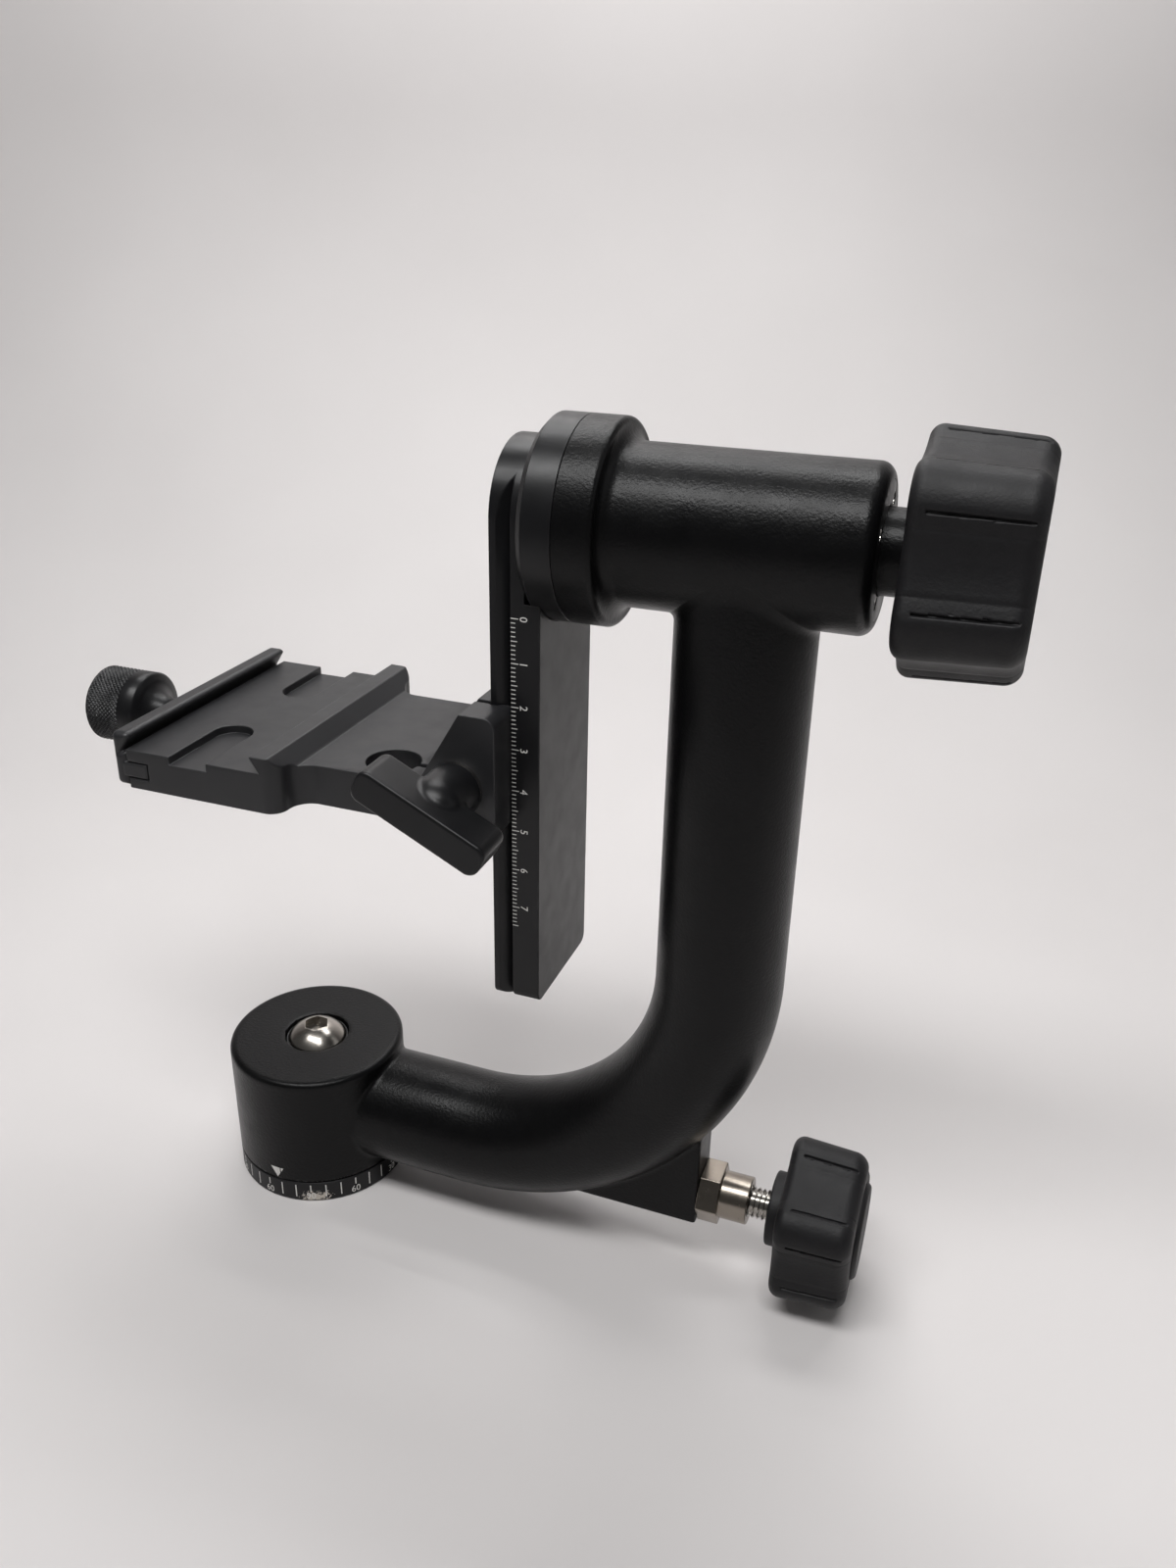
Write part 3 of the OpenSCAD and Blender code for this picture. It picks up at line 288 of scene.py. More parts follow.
COAT = coated("powder_coat", (0.0028, 0.0028, 0.0031), 0.33, 1400.0, 3400.0, 0.00006, 0.2)
# ANODISED and BLACKENED end with the pale colour and strength of their lightened edges: partly rubbed wear,
# partly painted highlight.
ANODISED = coated("anodised", (0.017, 0.017, 0.0185), 0.40, 3000.0, 8000.0, 0.000006, 0.42,
                  (0.32, 0.32, 0.325), 0.9)
BLACKENED = coated("black_anodised", (0.007, 0.007, 0.0078), 0.34, 3000.0, 8000.0, 0.000006, 0.3,
                   (0.26, 0.26, 0.265), 0.7)
PLASTIC = coated("moulded_plastic", (0.0054, 0.0051, 0.006), 0.54, 1500.0, 4000.0, 0.00005, 0.34)
RING = ring_material()
STEEL = metal("steel", (0.62, 0.60, 0.57), 0.2)
POLISHED = metal("polished_steel", (0.47, 0.44, 0.40), 0.24, turned=2)
NICKEL = metal("nickel", (0.31, 0.275, 0.235), 0.25, turned=0)
BRONZE = metal("bronze", (0.60, 0.44, 0.20), 0.3)
NYLON = plain("nylon", (0.78, 0.76, 0.70), 0.5)
PAINT = plain("white_paint", (0.82, 0.81, 0.78), 0.6, 2500.0)


# Forms written as distances, meshed on a grid and pulled on to their surface

def round_union(a, b, r):
    """Both forms together, with a fillet of radius r between them."""
    return np.maximum(r, np.minimum(a, b)) - np.hypot(np.maximum(r - a, 0), np.maximum(r - b, 0))


def round_both(a, b, r):
    """What both forms share, with the outer edge between them rounded by r."""
    return np.minimum(-r, np.maximum(a, b)) + np.hypot(np.maximum(r + a, 0), np.maximum(r + b, 0))


def cut_away(a, b, r):
    """The first form less the second, with the new edge rounded by r."""
    return round_both(a, -b, r)


def surface(distance, low, high, step):
    """Vertices and quads of the surface where distance is nought, inside the box from low to high."""
    axes = [np.arange(a - 2 * step, b + 3 * step, step) for a, b in zip(low, high)]
    inside = inside_grid(distance, axes, step)
    corners = np.zeros([len(a) - 1 for a in axes], np.int8)
    for i in (0, 1):
        for j in (0, 1):
            for k in (0, 1):
                size = corners.shape
                corners += inside[i:i + size[0], j:j + size[1], k:k + size[2]]
    cells = np.argwhere((corners > 0) & (corners < 8))
    index = np.full(corners.shape, -1, np.int64)
    index[tuple(cells.T)] = np.arange(len(cells))
    points = np.stack([axes[n][cells[:, n]] + step / 2 for n in range(3)], 1)
    quads = []
    for axis in range(3):
        u, v = (axis + 1) % 3, (axis + 2) % 3
        first = np.take(inside, range(inside.shape[axis] - 1), axis)
        second = np.take(inside, range(1, inside.shape[axis]), axis)
        for leaving in (True, False):
            edges = np.argwhere((first & ~second) if leaving else (second & ~first))
            ring = []
            for du, dv in ((1, 1), (0, 1), (0, 0), (1, 0)):
                cell = edges.copy()
                cell[:, u] -= du
                cell[:, v] -= dv
                ring.append(index[tuple(cell.T)])
            quads.append(np.stack(ring if leaving else ring[::-1], 1))
    quads = np.concatenate(quads)
    for sweep in range(3):
        points = pull(distance, points, step)
        points = pull(distance, relax(points, quads), step)
    return points, quads


def inside_grid(distance, axes, step):
    """Which grid points lie inside, worked out in full only in blocks near the surface."""
    block = 16
    inside = np.zeros([len(a) for a in axes], bool)
    near = 1.3 * block * step
    for i in range(0, len(axes[0]), block):
        for j in range(0, len(axes[1]), block):
            for k in range(0, len(axes[2]), block):
                parts = [axis[n:n + block] for axis, n in zip(axes, (i, j, k))]
                middle = float(distance(*(np.array([(p[0] + p[-1]) / 2]) for p in parts))[0])
                place = (slice(i, i + block), slice(j, j + block), slice(k, k + block))
                if abs(middle) > near:
                    inside[place] = middle < 0
                else:
                    inside[place] = distance(*np.meshgrid(*parts, indexing="ij", sparse=True)) < 0
    return inside


def pull(distance, points, step):
    """Moves points on to the surface along the distance's slope."""
    for turn in range(3):
        value = distance(*points.T)
        slope = np.stack([distance(*(points + e).T) - distance(*(points - e).T)
                          for e in np.eye(3) * step * 0.1], 1) / (step * 0.2)
        shift = value / np.maximum((slope ** 2).sum(1), 0.25)
        points = points - np.clip(shift, -step, step)[:, None] * slope
    return points


def relax(points, quads):
    """Evens out points over their neighbours."""
    total = np.zeros_like(points)
    count = np.zeros(len(points))
    for a, b in ((0, 1), (1, 2), (2, 3), (3, 0)):
        for one, other in ((a, b), (b, a)):
            np.add.at(total, quads[:, one], points[quads[:, other]])
            np.add.at(count, quads[:, one], 1)
    return 0.5 * points + 0.5 * total / np.maximum(count, 1)[:, None]


def piece(name, points, faces, mat, body):
    """A smooth mesh piece from points in millimetres, riding on a body."""
    mesh = bpy.data.meshes.new(name)
    mesh.from_pydata((points * MM).tolist(), [], faces)
    mesh.shade_smooth()
    obj = bpy.data.objects.new(name, mesh)
    scene.collection.objects.link(obj)
    obj.data.materials.append(mat)
    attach(obj, body)
    return obj


# The yoke: a casting with a turned head

def yoke_distance(x, y, z):
    """Hub, bent tube, gusset and a core for the turned barrel, less their bores."""
    from_pan = np.hypot(x, y)
    from_tilt = np.hypot(y, z - TILT_Z)
    from_arm = np.hypot(y, z - ARM_Z)
    from_lock = np.hypot(y, z - LOCK_Z)
    hub = round_both(round_both(from_pan - BASE_R, z - HUB_Z1, HUB_ROUND), HUB_Z0 - z, 0.2)
    foot = np.hypot(x - np.clip(x, 0, BEND_X), from_arm) - TUBE_R
    upright = np.hypot(np.hypot(x - REACH, y), z - np.clip(z, BEND_Z, TILT_Z - 7)) - TUBE_R
    bend = np.hypot(np.hypot(x - BEND_X, z - BEND_Z) - BEND_R, y) - TUBE_R
    bend = np.where((x > BEND_X) & (z < BEND_Z), bend, 1e3)
    tube = np.minimum(np.minimum(foot, upright), bend)
    under, head_half = 0.15, 19.0
    head = np.maximum(from_tilt - BARREL_R + under, np.abs(x - REACH) - head_half)
    rise, run = 23.8, 33.3
    slope_x, slope_lift, edge = 80.6, 4, 0.7
    slope = ((z - GUSSET_Z0 - slope_lift) * run - (x - slope_x) * rise) / math.hypot(run, rise)
    gusset = round_both(GUSSET_Z0 - z, x - GUSSET_X1, edge)
    gusset = round_both(gusset, np.abs(y) - GUSSET_HALF, edge)
    gusset = np.maximum(np.maximum(gusset, slope), GUSSET_X0 - x)
    body = round_union(round_union(tube, gusset, 0.6), hub, 1.0)
    body = round_union(body, head, 1.6)
    pan_bore = np.maximum(from_pan - 13.2, z - 33.4)
    screw_hole = from_pan - 6.3
    screw_recess = np.maximum(from_pan - 8.8, 36.4 - z)
    tilt_bore = from_tilt - 9.5
    tilt_end_bore = np.maximum(from_tilt - 12.5, 130.2 - x)
    rod_hole = np.maximum(from_lock - 4.25, -x)
    bush_hole = np.maximum(from_lock - 5.01, 101.6 - x)
    for bore in (pan_bore, screw_hole, screw_recess, tilt_bore, tilt_end_bore, rod_hole, bush_hole):
        body = cut_away(body, bore, 0.3)
    return body


def arc(x, r, radius, start, end):
    """Profile points on an arc about (x, r), from one angle to another in degrees."""
    parts = 12
    angles = np.radians(np.linspace(start, end, parts + 1))
    return [(x + radius * math.cos(a), r + radius * math.sin(a)) for a in angles]


def head_profile():
    """Half section of the barrel, its flange and its bores, as distances along and from the tilt axis."""
    edge = 0.1
    points = [(FLANGE_X0, BEARING_R), (FLANGE_X0, FLANGE_R - edge), (FLANGE_X0 + edge, FLANGE_R)]
    points += arc(FLANGE_X1 - FLANGE_EDGE, FLANGE_R - FLANGE_EDGE, FLANGE_EDGE, 90, 0)
    points += arc(FLANGE_X1 + FLANGE_FILLET, BARREL_R + FLANGE_FILLET, FLANGE_FILLET, 180, 270)
    points += arc(BARREL_X1 - BARREL_ROUND, BARREL_R - BARREL_ROUND, BARREL_ROUND, 90, 0)
    points += [(BARREL_X1, CAP_SEAT_R), (CAP_SEAT_X, CAP_SEAT_R), (CAP_SEAT_X, BEARING_R)]
    points += [(BEARING_X1, BEARING_R), (BEARING_X1, BARREL_BORE_R)]
    points += [(BEARING_X0, BARREL_BORE_R), (BEARING_X0, BEARING_R)]
    return points


def turned_loop(profile, sides, axis_z):
    """Points and quads of a closed profile turned about an axis along X."""
    count = len(profile)
    points = []
    for a in np.linspace(0, 2 * math.pi, sides, endpoint=False):
        points += [(x, -r * math.cos(a), axis_z + r * math.sin(a)) for x, r in profile]
    faces = []
    for i in range(sides):
        for k in range(count):
            one, two = i * count, (i + 1) % sides * count
            after = (k + 1) % count
            faces.append([one + k, two + k, two + after, one + after])
    return np.array(points), np.array(faces)


def yoke_casting():
    """The casting and its turned head as one piece."""
    low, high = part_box("yoke_arm")
    points, quads = surface(yoke_distance, [c / MM for c in low], [c / MM for c in high], 0.6)
    head_points, head_quads = turned_loop(head_profile(), 256, TILT_Z)
    quads = np.concatenate([quads, head_quads + len(points)])
    points = np.concatenate([points, head_points])
    obj = piece("yoke_casting", points, quads.tolist(), COAT, nodes["yoke_arm"]["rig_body"])
    obj.data.set_sharp_from_angle(angle=math.radians(40))
    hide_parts("yoke_arm")


# Lobed knobs, the clamp's handle and the moving jaw

def knob_distance(x0, length, radius, z0, phase):
    """A five-lobed knob along X, tapered outwards: round lobes, wide hollows, slots beside each lobe."""
    pitch = math.radians(72)
    side = math.radians(13.6)
    lobe = 0.345 * radius
    out = radius - lobe
    ridge = out * math.cos(side) + math.sqrt(lobe ** 2 - (out * math.sin(side)) ** 2)
    bottom = 0.82 * radius
    core = 0.872 * radius
    chord = ridge * math.sin(pitch / 2 - side)
    sag = ridge * math.cos(pitch / 2 - side) - bottom
    hollow = (chord ** 2 + sag ** 2) / (2 * sag)
    far = bottom + hollow
    slot_half, slot_depth = 0.28, 0.8
    slot_start, slot_end = 3.5, 2.0

    def distance(x, y, z):
        d = x - x0
        w = z - z0
        swell = 1 / (1 - KNOB_TAPER * np.clip(d, 0, length) / length)
        p = np.hypot(y, w) * swell
        turn = np.arctan2(w, -y) - math.radians(phase) + pitch / 2
        q = np.abs(turn % pitch - pitch / 2)
        u = p * np.cos(q)
        v = p * np.sin(q)
        form = np.minimum(p - core, np.hypot(u - out, v) - lobe)
        valley = np.hypot(u - far * math.cos(pitch / 2), v - far * math.sin(pitch / 2)) - hollow
        form = cut_away(form, valley, 0.5)
        form = round_both(round_both(form, -d, KNOB_ROUND), d - length, KNOB_END_ROUND)
        ends = np.maximum(slot_start - d, d - length + slot_end)
        across = np.abs(v * math.cos(side) - u * math.sin(side)) - slot_half
        along = u * math.cos(side) + v * math.sin(side)
        slot = np.maximum(np.maximum(across, ends), ridge - slot_depth - along)
        return cut_away(form, slot, 0.12)

    return distance


def bored(solid, axis_z, bore, bore_x1, cap, cap_x0):
    """A knob's form with its bore from the inner end and the seat of its cover."""

    def distance(x, y, z):
        from_axis = np.hypot(y, z - axis_z)
        form = cut_away(solid(x, y, z), np.maximum(from_axis - bore, x - bore_x1), 0.1)
        return cut_away(form, np.maximum(from_axis - cap, cap_x0 - x), 0.1)

    return distance


def collared_knob_distance(x, y, z):
    """The pan lock's knob with the collar at its inner end."""
    collar_r, collar_x0, collar_x1 = 9.35, 132.3, 138
    knob = knob_distance(135.6, 18.9, 20.8, LOCK_Z, 31)(x, y, z)
    from_axis = np.hypot(y, z - LOCK_Z)
    collar = round_both(round_both(from_axis - collar_r, collar_x0 - x, 0.6), x - collar_x1, 0.1)
    return round_union(knob, collar, 0.6)


def handle_distance(x, y, z):
    """The clamp's bar handle, slanted, with its domed hub and the screw's hole."""
    a = math.radians(26.6)
    half_length, half_height, half_width = 16.0, 3.9, 5.4
    bar_y, dome_y, hub_end, hole_end = -38.55, -34.45, -25.55, -38.5
    hub_r, hole_r = 6.4, 3.01
    dx = x - SCREW_X
    dz = z - SCREW_Z
    along = dx * math.cos(a) - dz * math.sin(a)
    across = dx * math.sin(a) + dz * math.cos(a)
    bar = round_both(np.abs(along) - half_length, np.abs(across) - half_height, 2.6)
    bar = round_both(bar, np.abs(y - bar_y) - half_width, 0.8)
    from_axis = np.hypot(dx, dz)
    hub = np.hypot(from_axis, np.minimum(y - dome_y, 0)) - hub_r
    hub = round_both(hub, y - hub_end, 0.4)
    form = round_union(bar, hub, 0.7)
    return cut_away(form, np.maximum(from_axis - hole_r, hole_end - y), 0.1)


def jaw_distance(x, y, z):
    """The moving jaw: a bar with round edges, an undercut lip, a tongue and the screw's hole."""
    x0, x1, tip = -26.85, -23.15, -21.95
    foot, top, floor = 127.0, 140.5, 136.6
    rise, run, undercut = 3.1, 2.0, 0.8
    tongue_x, tongue_half, tongue_thick, hole_r = -21.0, 3.4, 1.85, 3.2
    across = np.abs(x - (x0 + tip) / 2) - (tip - x0) / 2
    upward = np.abs(z - (foot + top) / 2) - (top - foot) / 2
    bar = round_both(across, upward, 1.4)
    slope = (rise * (x - x1 + undercut) - run * (z - floor)) / math.hypot(rise, run)
    bar = cut_away(bar, np.maximum(x1 - x, z - floor + 0.4), 0.2)
    bar = cut_away(bar, np.maximum(-slope, floor - 1.0 - z), 0.3)
    bar = round_both(bar, np.abs(y) - JAW_HALF, 1.7)
    tongue = round_both(np.abs(x - tongue_x) - tongue_half, np.abs(z - QR_Z) - tongue_thick, 0.5)
    tongue = round_both(tongue, np.abs(y) - JAW_HALF, 0.5)
    return cut_away(np.minimum(bar, tongue), np.hypot(y, z - QR_Z) - hole_r, 0.2)


def moulded(name, node, distance, step, mat):
    """A piece meshed from a distance form, in place of a node."""
    low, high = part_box(node)
    points, quads = surface(distance, [c / MM for c in low], [c / MM for c in high], step)
    obj = piece(name, points, quads.tolist(), mat, nodes[node]["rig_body"])
    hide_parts(node)


# Turned pieces with threads and knurls

def turned_skin(name, stations, sides, radius, mat, body, axis_z):
    """A closed skin round X: radius gives the profile at a station and an angle."""
    angles = np.linspace(0, 2 * math.pi, sides, endpoint=False)
    points = []
    for s in stations:
        r = radius(s, angles)
        points.append(np.stack([np.full(sides, s), -r * np.cos(angles), r * np.sin(angles) + axis_z], 1))
    points = np.concatenate(points)
    faces = []
    for i in range(len(stations) - 1):
        for k in range(sides):
            a = i * sides + k
            b = i * sides + (k + 1) % sides
            faces.append([a, a + sides, b + sides, b])
    faces.append(list(range(sides)))
    last = (len(stations) - 1) * sides
    faces.append(list(range(last, last + sides))[::-1])
    obj = piece(name, points, faces, mat, body)
    obj.data.set_sharp_from_angle(angle=math.radians(50))
    return obj


def thread_radius(x, angles):
    """Radius of the pan lock's rod, with its thread between THREAD_X0 and THREAD_X1."""
    pitch = 1.25
    wave = np.abs(((x / pitch - angles / (2 * math.pi)) % 1.0) - 0.5) * 2
    depth = 0.62 if THREAD_X0 < x < THREAD_X1 else 0.0
    return THREAD_R - depth * np.clip(1.25 * wave - 0.12, 0, 1)


def knurl_radius(x0):
    """Radius of the knurled knob: diamonds on the grip, a plain rim, a hollow front, a stem."""
    stem, r, edge = 3.8, 9.8, 1.0
    knurl, grip, rim = 11.6, 15.0, 0.6
    diamonds, pitch, depth = 52, 1.15, 0.42
    hollow = r - rim - stem

    def radius(x, angles):
        d = x - x0
        if d > grip:
            back = max(grip + hollow - d, 0.0)
            rise = math.sqrt(hollow ** 2 - min(back, hollow) ** 2)
            return np.full(len(angles), stem + hollow - rise)
        if d > knurl:
            return np.full(len(angles), r - max(0.0, d - grip + rim))
        u = angles * diamonds / (2 * math.pi)
        v = d / pitch
        one = np.abs(((u + v) % 1.0) - 0.5) * 2
        two = np.abs(((u - v) % 1.0) - 0.5) * 2
        fade = np.clip((min(d, knurl - d) - edge) / 0.4, 0, 1)
        cut = np.clip(np.maximum(one, two) * 1.7 - 0.75, 0, 1) * depth * fade
        return r - cut - max(0.0, edge - d)

    return radius


# Pieces that keep the solid's shape, with softened edges

def lies_in(edge, box):
    """Whether an edge's middle lies in a box, given in millimetres as its two corners."""
    middle = (edge.verts[0].co + edge.verts[1].co) / 2 / MM
    return all(a < c < b for a, c, b in zip(box[0], middle, box[1]))


def bevelled(node, width, mat, crisp=()):
    """A copy of a node's mesh with its sharp edges softened, in place of the node.

    Where crisp boxes are given, edges whose middle lies in one of them stay as they are,
    and so do all hollow edges.
    """
    source = nodes[node]
    mesh = source.data.copy()
    mesh.materials.clear()
    bm = bmesh.new()
    bm.from_mesh(mesh)
    bmesh.ops.remove_doubles(bm, verts=bm.verts, dist=1e-6)
    bmesh.ops.dissolve_limit(bm, angle_limit=math.radians(1.0), verts=bm.verts, edges=bm.edges)
    steep = math.radians(28)
    sharp = [e for e in bm.edges if len(e.link_faces) == 2 and e.calc_face_angle(0) > steep]
    if crisp:
        sharp = [e for e in sharp if e.is_convex and not any(lies_in(e, box) for box in crisp)]
    bmesh.ops.bevel(bm, geom=sharp, offset=width * MM, segments=2, profile=0.5, affect="EDGES",
                    clamp_overlap=not crisp)
    bmesh.ops.triangulate(bm, faces=[f for f in bm.faces if len(f.verts) > 4])
    bm.to_mesh(mesh)
    bm.free()
    if mesh.attributes.get("custom_normal"):
        mesh.attributes.remove(mesh.attributes["custom_normal"])
    mesh.shade_smooth()
    mesh.set_sharp_from_angle(angle=math.radians(60))
    obj = bpy.data.objects.new(node + "_finished", mesh)
    scene.collection.objects.link(obj)
    obj.data.materials.append(mat)
    weigh = obj.modifiers.new("flat faces", "WEIGHTED_NORMAL")
    weigh.weight = 100
    weigh.keep_sharp = True
    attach(obj, source["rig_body"])
    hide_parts(node)
    return obj


# Painted marks: thin closed prints on a face

def glyph(text, height):
    """Flat points and faces of a number, centred, of that height."""
    curve = bpy.data.curves.new("glyph", "FONT")
    curve.body = text
    curve.resolution_u = 3
    holder = bpy.data.objects.new("glyph", curve)
    scene.collection.objects.link(holder)
    bpy.context.view_layer.update()
    shown = holder.evaluated_get(bpy.context.evaluated_depsgraph_get())
    mesh = bpy.data.meshes.new_from_object(shown)
    points = np.array([v.co[:2] for v in mesh.vertices])
    faces = [list(p.vertices) for p in mesh.polygons]
    bpy.data.objects.remove(holder)
    bpy.data.meshes.remove(mesh)
    low, high = points.min(0), points.max(0)
    return (points - (low + high) / 2) * height / (high[1] - low[1]), faces


def strip(u0, u1, v0, v1):
    """Flat points and the face of a rectangle."""
    return np.array([(u0, v0), (u0, v1), (u1, v0), (u1, v1)]), [[0, 2, 3, 1]]


def printed(name, shapes, place, mat, body):
    """One piece of flat shapes, given a little thickness and laid on a face by place(u, v, height)."""
    bm = bmesh.new()
    for points, faces in shapes:
        verts = [bm.verts.new((p[0], p[1], 0)) for p in points]
        for face in faces:
            bm.faces.new([verts[i] for i in face])
    bmesh.ops.remove_doubles(bm, verts=bm.verts, dist=1e-5)
    raised = bmesh.ops.extrude_face_region(bm, geom=list(bm.faces))
    lifted = [g for g in raised["geom"] if isinstance(g, bmesh.types.BMVert)]
    bmesh.ops.translate(bm, vec=(0, 0, PRINT_THICKNESS), verts=lifted)
    for v in bm.verts:
        v.co = Vector(place(v.co.x, v.co.y, v.co.z - PRINT_SINK)) * MM
    bmesh.ops.recalc_face_normals(bm, faces=bm.faces)
    mesh = bpy.data.meshes.new(name)
    bm.to_mesh(mesh)
    bm.free()
    obj = bpy.data.objects.new(name, mesh)
    scene.collection.objects.link(obj)
    obj.data.materials.append(mat)
    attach(obj, body)


def on_ring(u, v, h):
    """u is the arc in millimetres from the front of the ring, v the height."""
    a = u / BASE_R - math.pi / 2
    r = BASE_R + h
    return r * math.cos(a), r * math.sin(a), v


def on_arm(u, v, h):
    """u runs along the arm's thickness, v up it, on its front narrow side."""
    return u, -SWING_HALF - h, v


def ring_scale():
    """Ticks every ten degrees round the ring, with a number below every third one."""
    shapes = []
    labels = (90, 60, 30, 0, 30, 60, 90, 60, 30, 0, 30, 60)
    first, half = 21, 0.16
    for i in range(36):
        u = math.radians(10 * i + first) * BASE_R
        if i % 3:
            shapes.append(strip(u - half, u + half, 1.4, 5.5))
        else:
            shapes.append(strip(u - half, u + half, 3.5, 5.6))
            points, faces = glyph(str(labels[i // 3]), 2.1)
            shapes.append((points * (0.9, 1) + (u, 1.95), faces))
    return shapes


def arm_scale():
    """Millimetre ticks down the arm, with a number at every tenth."""
    shapes = []
    zero, number_x, half = 174.8, 70.3, 0.1
    for i in range(76):
        z = zero - i
        length = 1.9 if i % 10 == 0 else 1.6 if i % 5 == 0 else 1.2
        shapes.append(strip(DOVETAIL_X + 0.15, DOVETAIL_X + length, z - half, z + half))
        if i % 10 == 0:
            points, faces = glyph(str(i // 10), 1.75)
            turned = np.stack([points[:, 1] + number_x, z - points[:, 0]], 1)
            shapes.append((turned, faces))
    return shapes


# The pieces

tilt_knob = bored(knob_distance(145.6, 24.4, 25.9, TILT_Z, 46), TILT_Z, 8.01, 163.0, 15.37, 168.0)
pan_knob = bored(collared_knob_distance, LOCK_Z, 4.01, 150.5, 11.96, 152.5)
yoke_casting()
moulded("tilt_knob_moulding", "tilt_knob", tilt_knob, 0.26, PLASTIC)
moulded("pan_knob_moulding", "pan_lock_knob", pan_knob, 0.24, PLASTIC)
moulded("clamp_handle_bar", "clamp_handle", handle_distance, 0.35, BLACKENED)
moulded("qr_jaw_bar", "qr_jaw", jaw_distance, 0.3, ANODISED)

rod_low, rod_high = (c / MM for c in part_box("pan_lock_rod"))
rod_x = [rod_low.x, rod_low.x + 0.6, THREAD_X0]
rod_x += list(np.arange(THREAD_X0 + 0.1, THREAD_X1, 0.125))
rod_x += [THREAD_X1 + 0.1, rod_high.x]
rod = turned_skin("pan_lock_thread", rod_x, 48, thread_radius, STEEL, "pan_lock", LOCK_Z)
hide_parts("pan_lock_rod")

knob_low, knob_high = (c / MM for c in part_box("qr_knob"))
qr_x = list(np.arange(0, 11.6, 0.16)) + [11.61, 14.4] + list(np.linspace(15.0, 20.4, 20))
qr_x = [knob_low.x + d for d in qr_x] + [knob_high.x]
qr = turned_skin("qr_knob_knurled", qr_x, 416, knurl_radius(knob_low.x), BLACKENED, "qr_grip", QR_Z)
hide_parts("qr_knob")

for node, width, mat in (
    ("swing_arm", 0.35, BLACKENED),
    # The tilt disc takes the darker black finish instead of the platform's anodised one; this darker tone
    # is painted shade.
    ("tilt_disc", 0.1, BLACKENED),
    ("tilt_sleeve", 0.3, COAT),
    ("base_ring", 0.08, RING),
    ("pan_lock_bush", 0.3, NICKEL),
    ("pan_lock_cap", 0.3, PLASTIC),
    ("tilt_knob_cap", 0.2, PLASTIC),
    ("pan_screw", 0.15, POLISHED),
    ("clamp_washer", 0.1, STEEL),
):
    bevelled(node, width, mat)

# The platform's spring holes and the tip of its fixed jaw have no room for softened edges
SPRING_HOLES = ((-24.0, -20.0, 128.0), (-16.9, 20.0, 134.0))
JAW_TIP = ((10.0, -34.0, 139.3), (12.2, 34.0, 141.0))
bevelled("platform", 0.3, ANODISED, (SPRING_HOLES, JAW_TIP))

# The spanner holes in the barrel's end are drilled through the black into bare metal
end_cap = bevelled("tilt_end_cap", 0.2, BLACKENED)
end_cap.data.materials.append(STEEL)
for face in end_cap.data.polygons:
    place = face.center / MM
    for turn in (60, 150, 240, 330):
        a = math.radians(turn)
        dy = place.y + SPANNER_R * math.cos(a)
        dz = place.z - TILT_Z + SPANNER_R * math.sin(a)
        if math.hypot(dy, dz) < SPANNER_HOLE_R and place.x > BARREL_X1 - SPANNER_DEPTH:
            face.material_index = 1

# Materials of the solids that are used as they are
for names, mat in (
    (("pan_axle", "axle_screws", "tilt_bearing_outer_races", "tilt_bearing_inner_races",
      "tilt_bearing_balls", "tilt_shaft", "tilt_spacer", "swing_arm_bolt", "swing_arm_screws",
      "clamp_screw", "qr_springs", "qr_screw", "qr_washer"), STEEL),
    (("pan_bush_lower", "pan_bush_upper", "pan_brake_shoe", "tilt_knob_insert"), BRONZE),
    (("pan_thrust_washer", "tilt_friction_washer"), NYLON),
    (("pan_cap_washer",), BLACKENED),
):
    for name in names:
        nodes[name].data.materials.clear()
        nodes[name].data.materials.append(mat)

printed("ring_scale", ring_scale(), on_ring, PAINT, "base")
printed("arm_scale", arm_scale(), on_arm, PAINT, "swing")

# The pan index: a triangle above the ring with its tip down
tip_u = math.radians(-1.6) * BASE_R
tip_z, top_z, half = 7.25, 10.5, 2.0
triangle = np.array([(tip_u, tip_z), (tip_u + half, top_z), (tip_u, top_z), (tip_u - half, top_z)])
printed("pan_index", [(triangle, [[0, 1, 2], [0, 2, 3]])], on_ring, PAINT, "yoke")


# Stage, light and camera

def add_stage():
    """A paper sweep: flat under the part, curving up into a wall behind it."""
    mat, tree, shader = new_material("stage_paper")
    cloud = remap(tree, noise(tree, 6.0, 2.0), 0.3, 0.7, 0.0, 1.0)
    paper = blend_colour(tree, cloud, (0.675, 0.65, 0.645), (0.715, 0.69, 0.685))
    tree.links.new(paper, shader.inputs["Base Color"])
    shader.inputs["Roughness"].default_value = 0.85
    start, cove, extent, parts = 0.25, 0.30, 2.0, 24
    profile = [(-extent, 0.0), (start, 0.0)]
    for i in range(1, parts + 1):
        a = math.pi / 2 * i / parts
        profile.append((start + cove * math.sin(a), cove * (1 - math.cos(a))))
    profile.append((start + cove, extent))
    az = math.radians(VIEW_AZIMUTH)
    along = Vector((math.cos(az), math.sin(az), 0))
    back = Vector((-math.sin(az), math.cos(az), 0))
    verts = []
    for d, z in profile:
        for side in (-extent, extent):
            verts.append(back * d + along * side + Vector((0.1, 0, z)))
    faces = [[2 * i, 2 * i + 1, 2 * i + 3, 2 * i + 2] for i in range(len(profile) - 1)]
    mesh = bpy.data.meshes.new("sweep")
    mesh.from_pydata(verts, [], faces)
    mesh.shade_smooth()
    sweep = bpy.data.objects.new("sweep", mesh)
    scene.collection.objects.link(sweep)
    mesh.materials.append(mat)


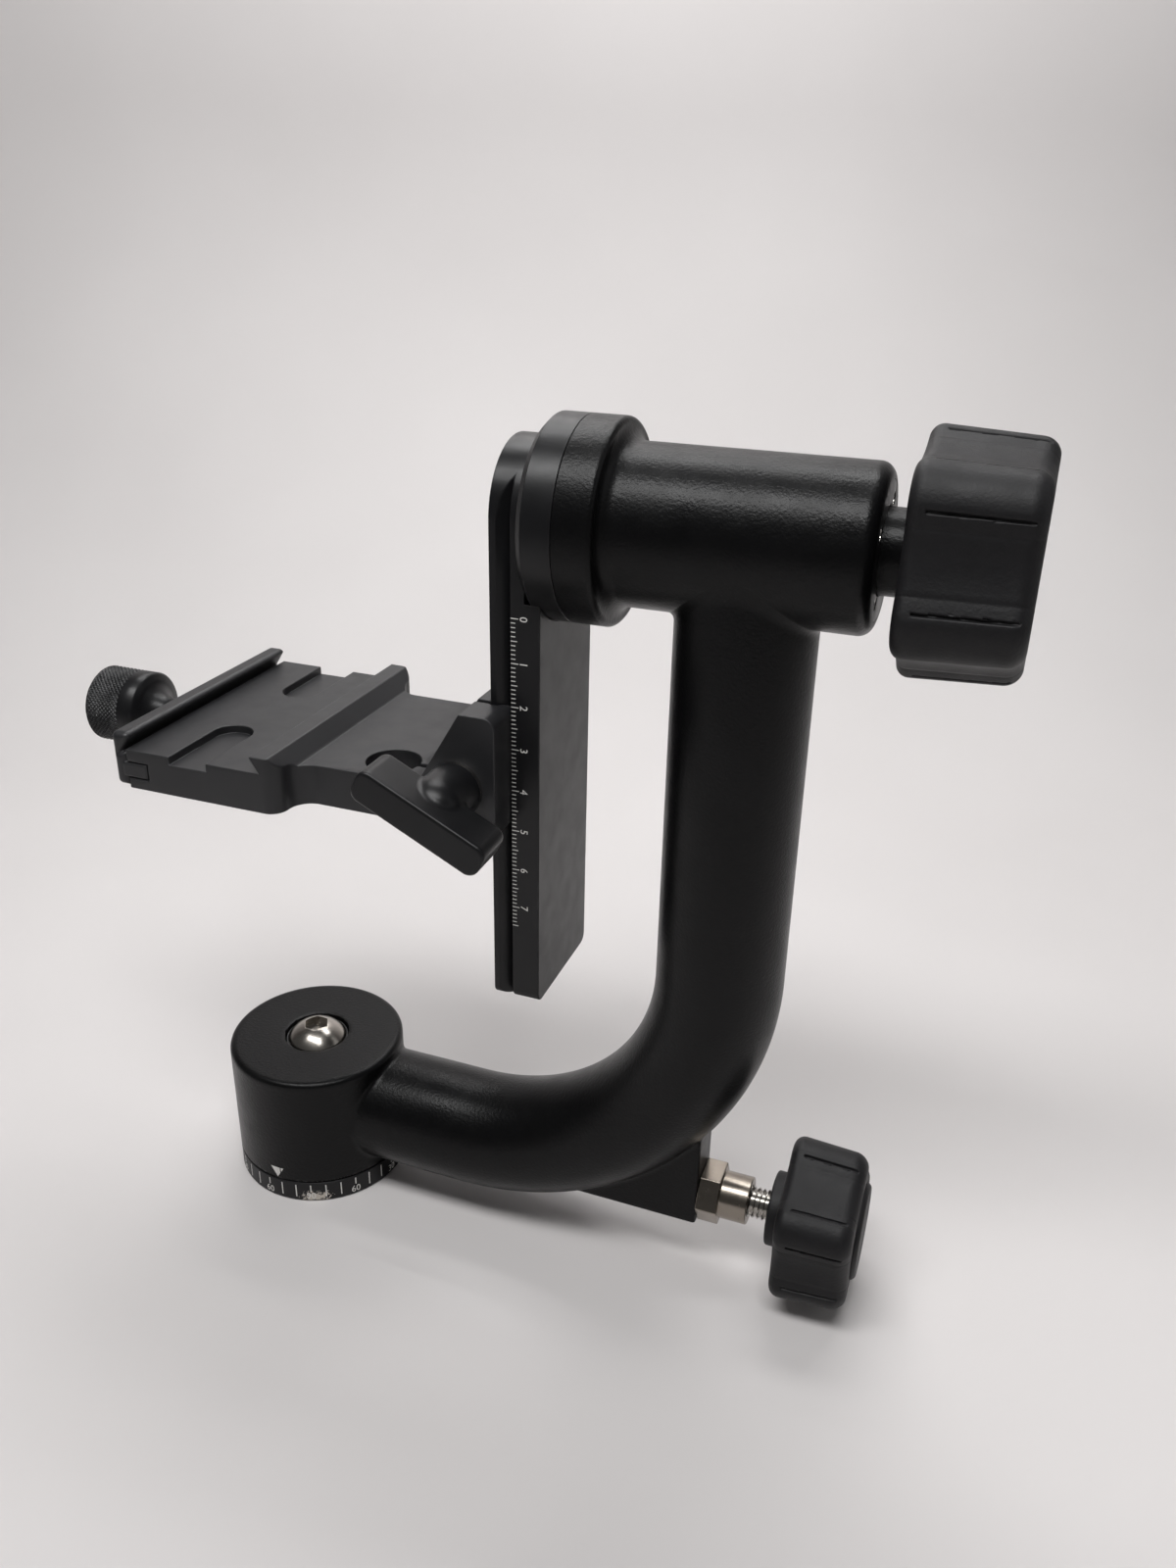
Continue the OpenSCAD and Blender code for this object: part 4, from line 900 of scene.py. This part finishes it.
def add_light(name, place, target, size, power):
    """A soft box aimed at a target; sizes in metres, power in watts."""
    data = bpy.data.lights.new(name, "AREA")
    data.shape = "RECTANGLE"
    data.size, data.size_y = size
    data.energy = power
    lamp = bpy.data.objects.new(name, data)
    lamp.location = place
    lamp.rotation_euler = (Vector(target) - Vector(place)).to_track_quat("-Z", "Y").to_euler()
    lamp.visible_camera = False
    scene.collection.objects.link(lamp)


def add_camera():
    """The photo's camera, as it was fitted."""
    az, el, roll = (math.radians(a) for a in (VIEW_AZIMUTH, VIEW_ELEVATION, VIEW_ROLL))
    back = Vector((math.sin(az) * math.cos(el), -math.cos(az) * math.cos(el), math.sin(el)))
    right = Vector((math.cos(az), math.sin(az), 0))
    up = back.cross(right)
    across = right * math.cos(roll) + up * math.sin(roll)
    upward = up * math.cos(roll) - right * math.sin(roll)
    data = bpy.data.cameras.new("camera")
    data.sensor_fit = "VERTICAL"
    data.sensor_height = SENSOR_HEIGHT
    data.lens = FOCAL_PIXELS / IMAGE_HEIGHT * SENSOR_HEIGHT
    data.clip_start = 0.01
    camera = bpy.data.objects.new("camera", data)
    turn = Matrix((across, upward, back)).transposed().to_4x4()
    camera.matrix_world = Matrix.Translation(Vector(CAMERA_PLACE) * MM) @ turn
    scene.collection.objects.link(camera)
    scene.camera = camera


add_stage()
add_light("front", (0.04, -0.27, 0.72), (0.06, 0.0, 0.15), (0.6, 0.16), 3.9)
add_light("rear", (0.04, 0.27, 0.72), (0.06, 0.0, 0.15), (0.6, 0.15), 2.1)
add_light("wall", (-0.32, 0.44, 0.66), (-0.32, 0.62, 0.42), (0.9, 0.07), 2.9)
add_light("right", (0.62, 0.10, 0.35), (0.1, 0, 0.1), (0.4, 0.5), 0.25)
world = bpy.data.worlds.new("studio")
world.use_nodes = True
background = world.node_tree.nodes["Background"]
background.inputs["Color"].default_value = (1, 1, 1, 1)
background.inputs["Strength"].default_value = 0.07
scene.world = world
add_camera()
scene.view_settings.view_transform = "Standard"
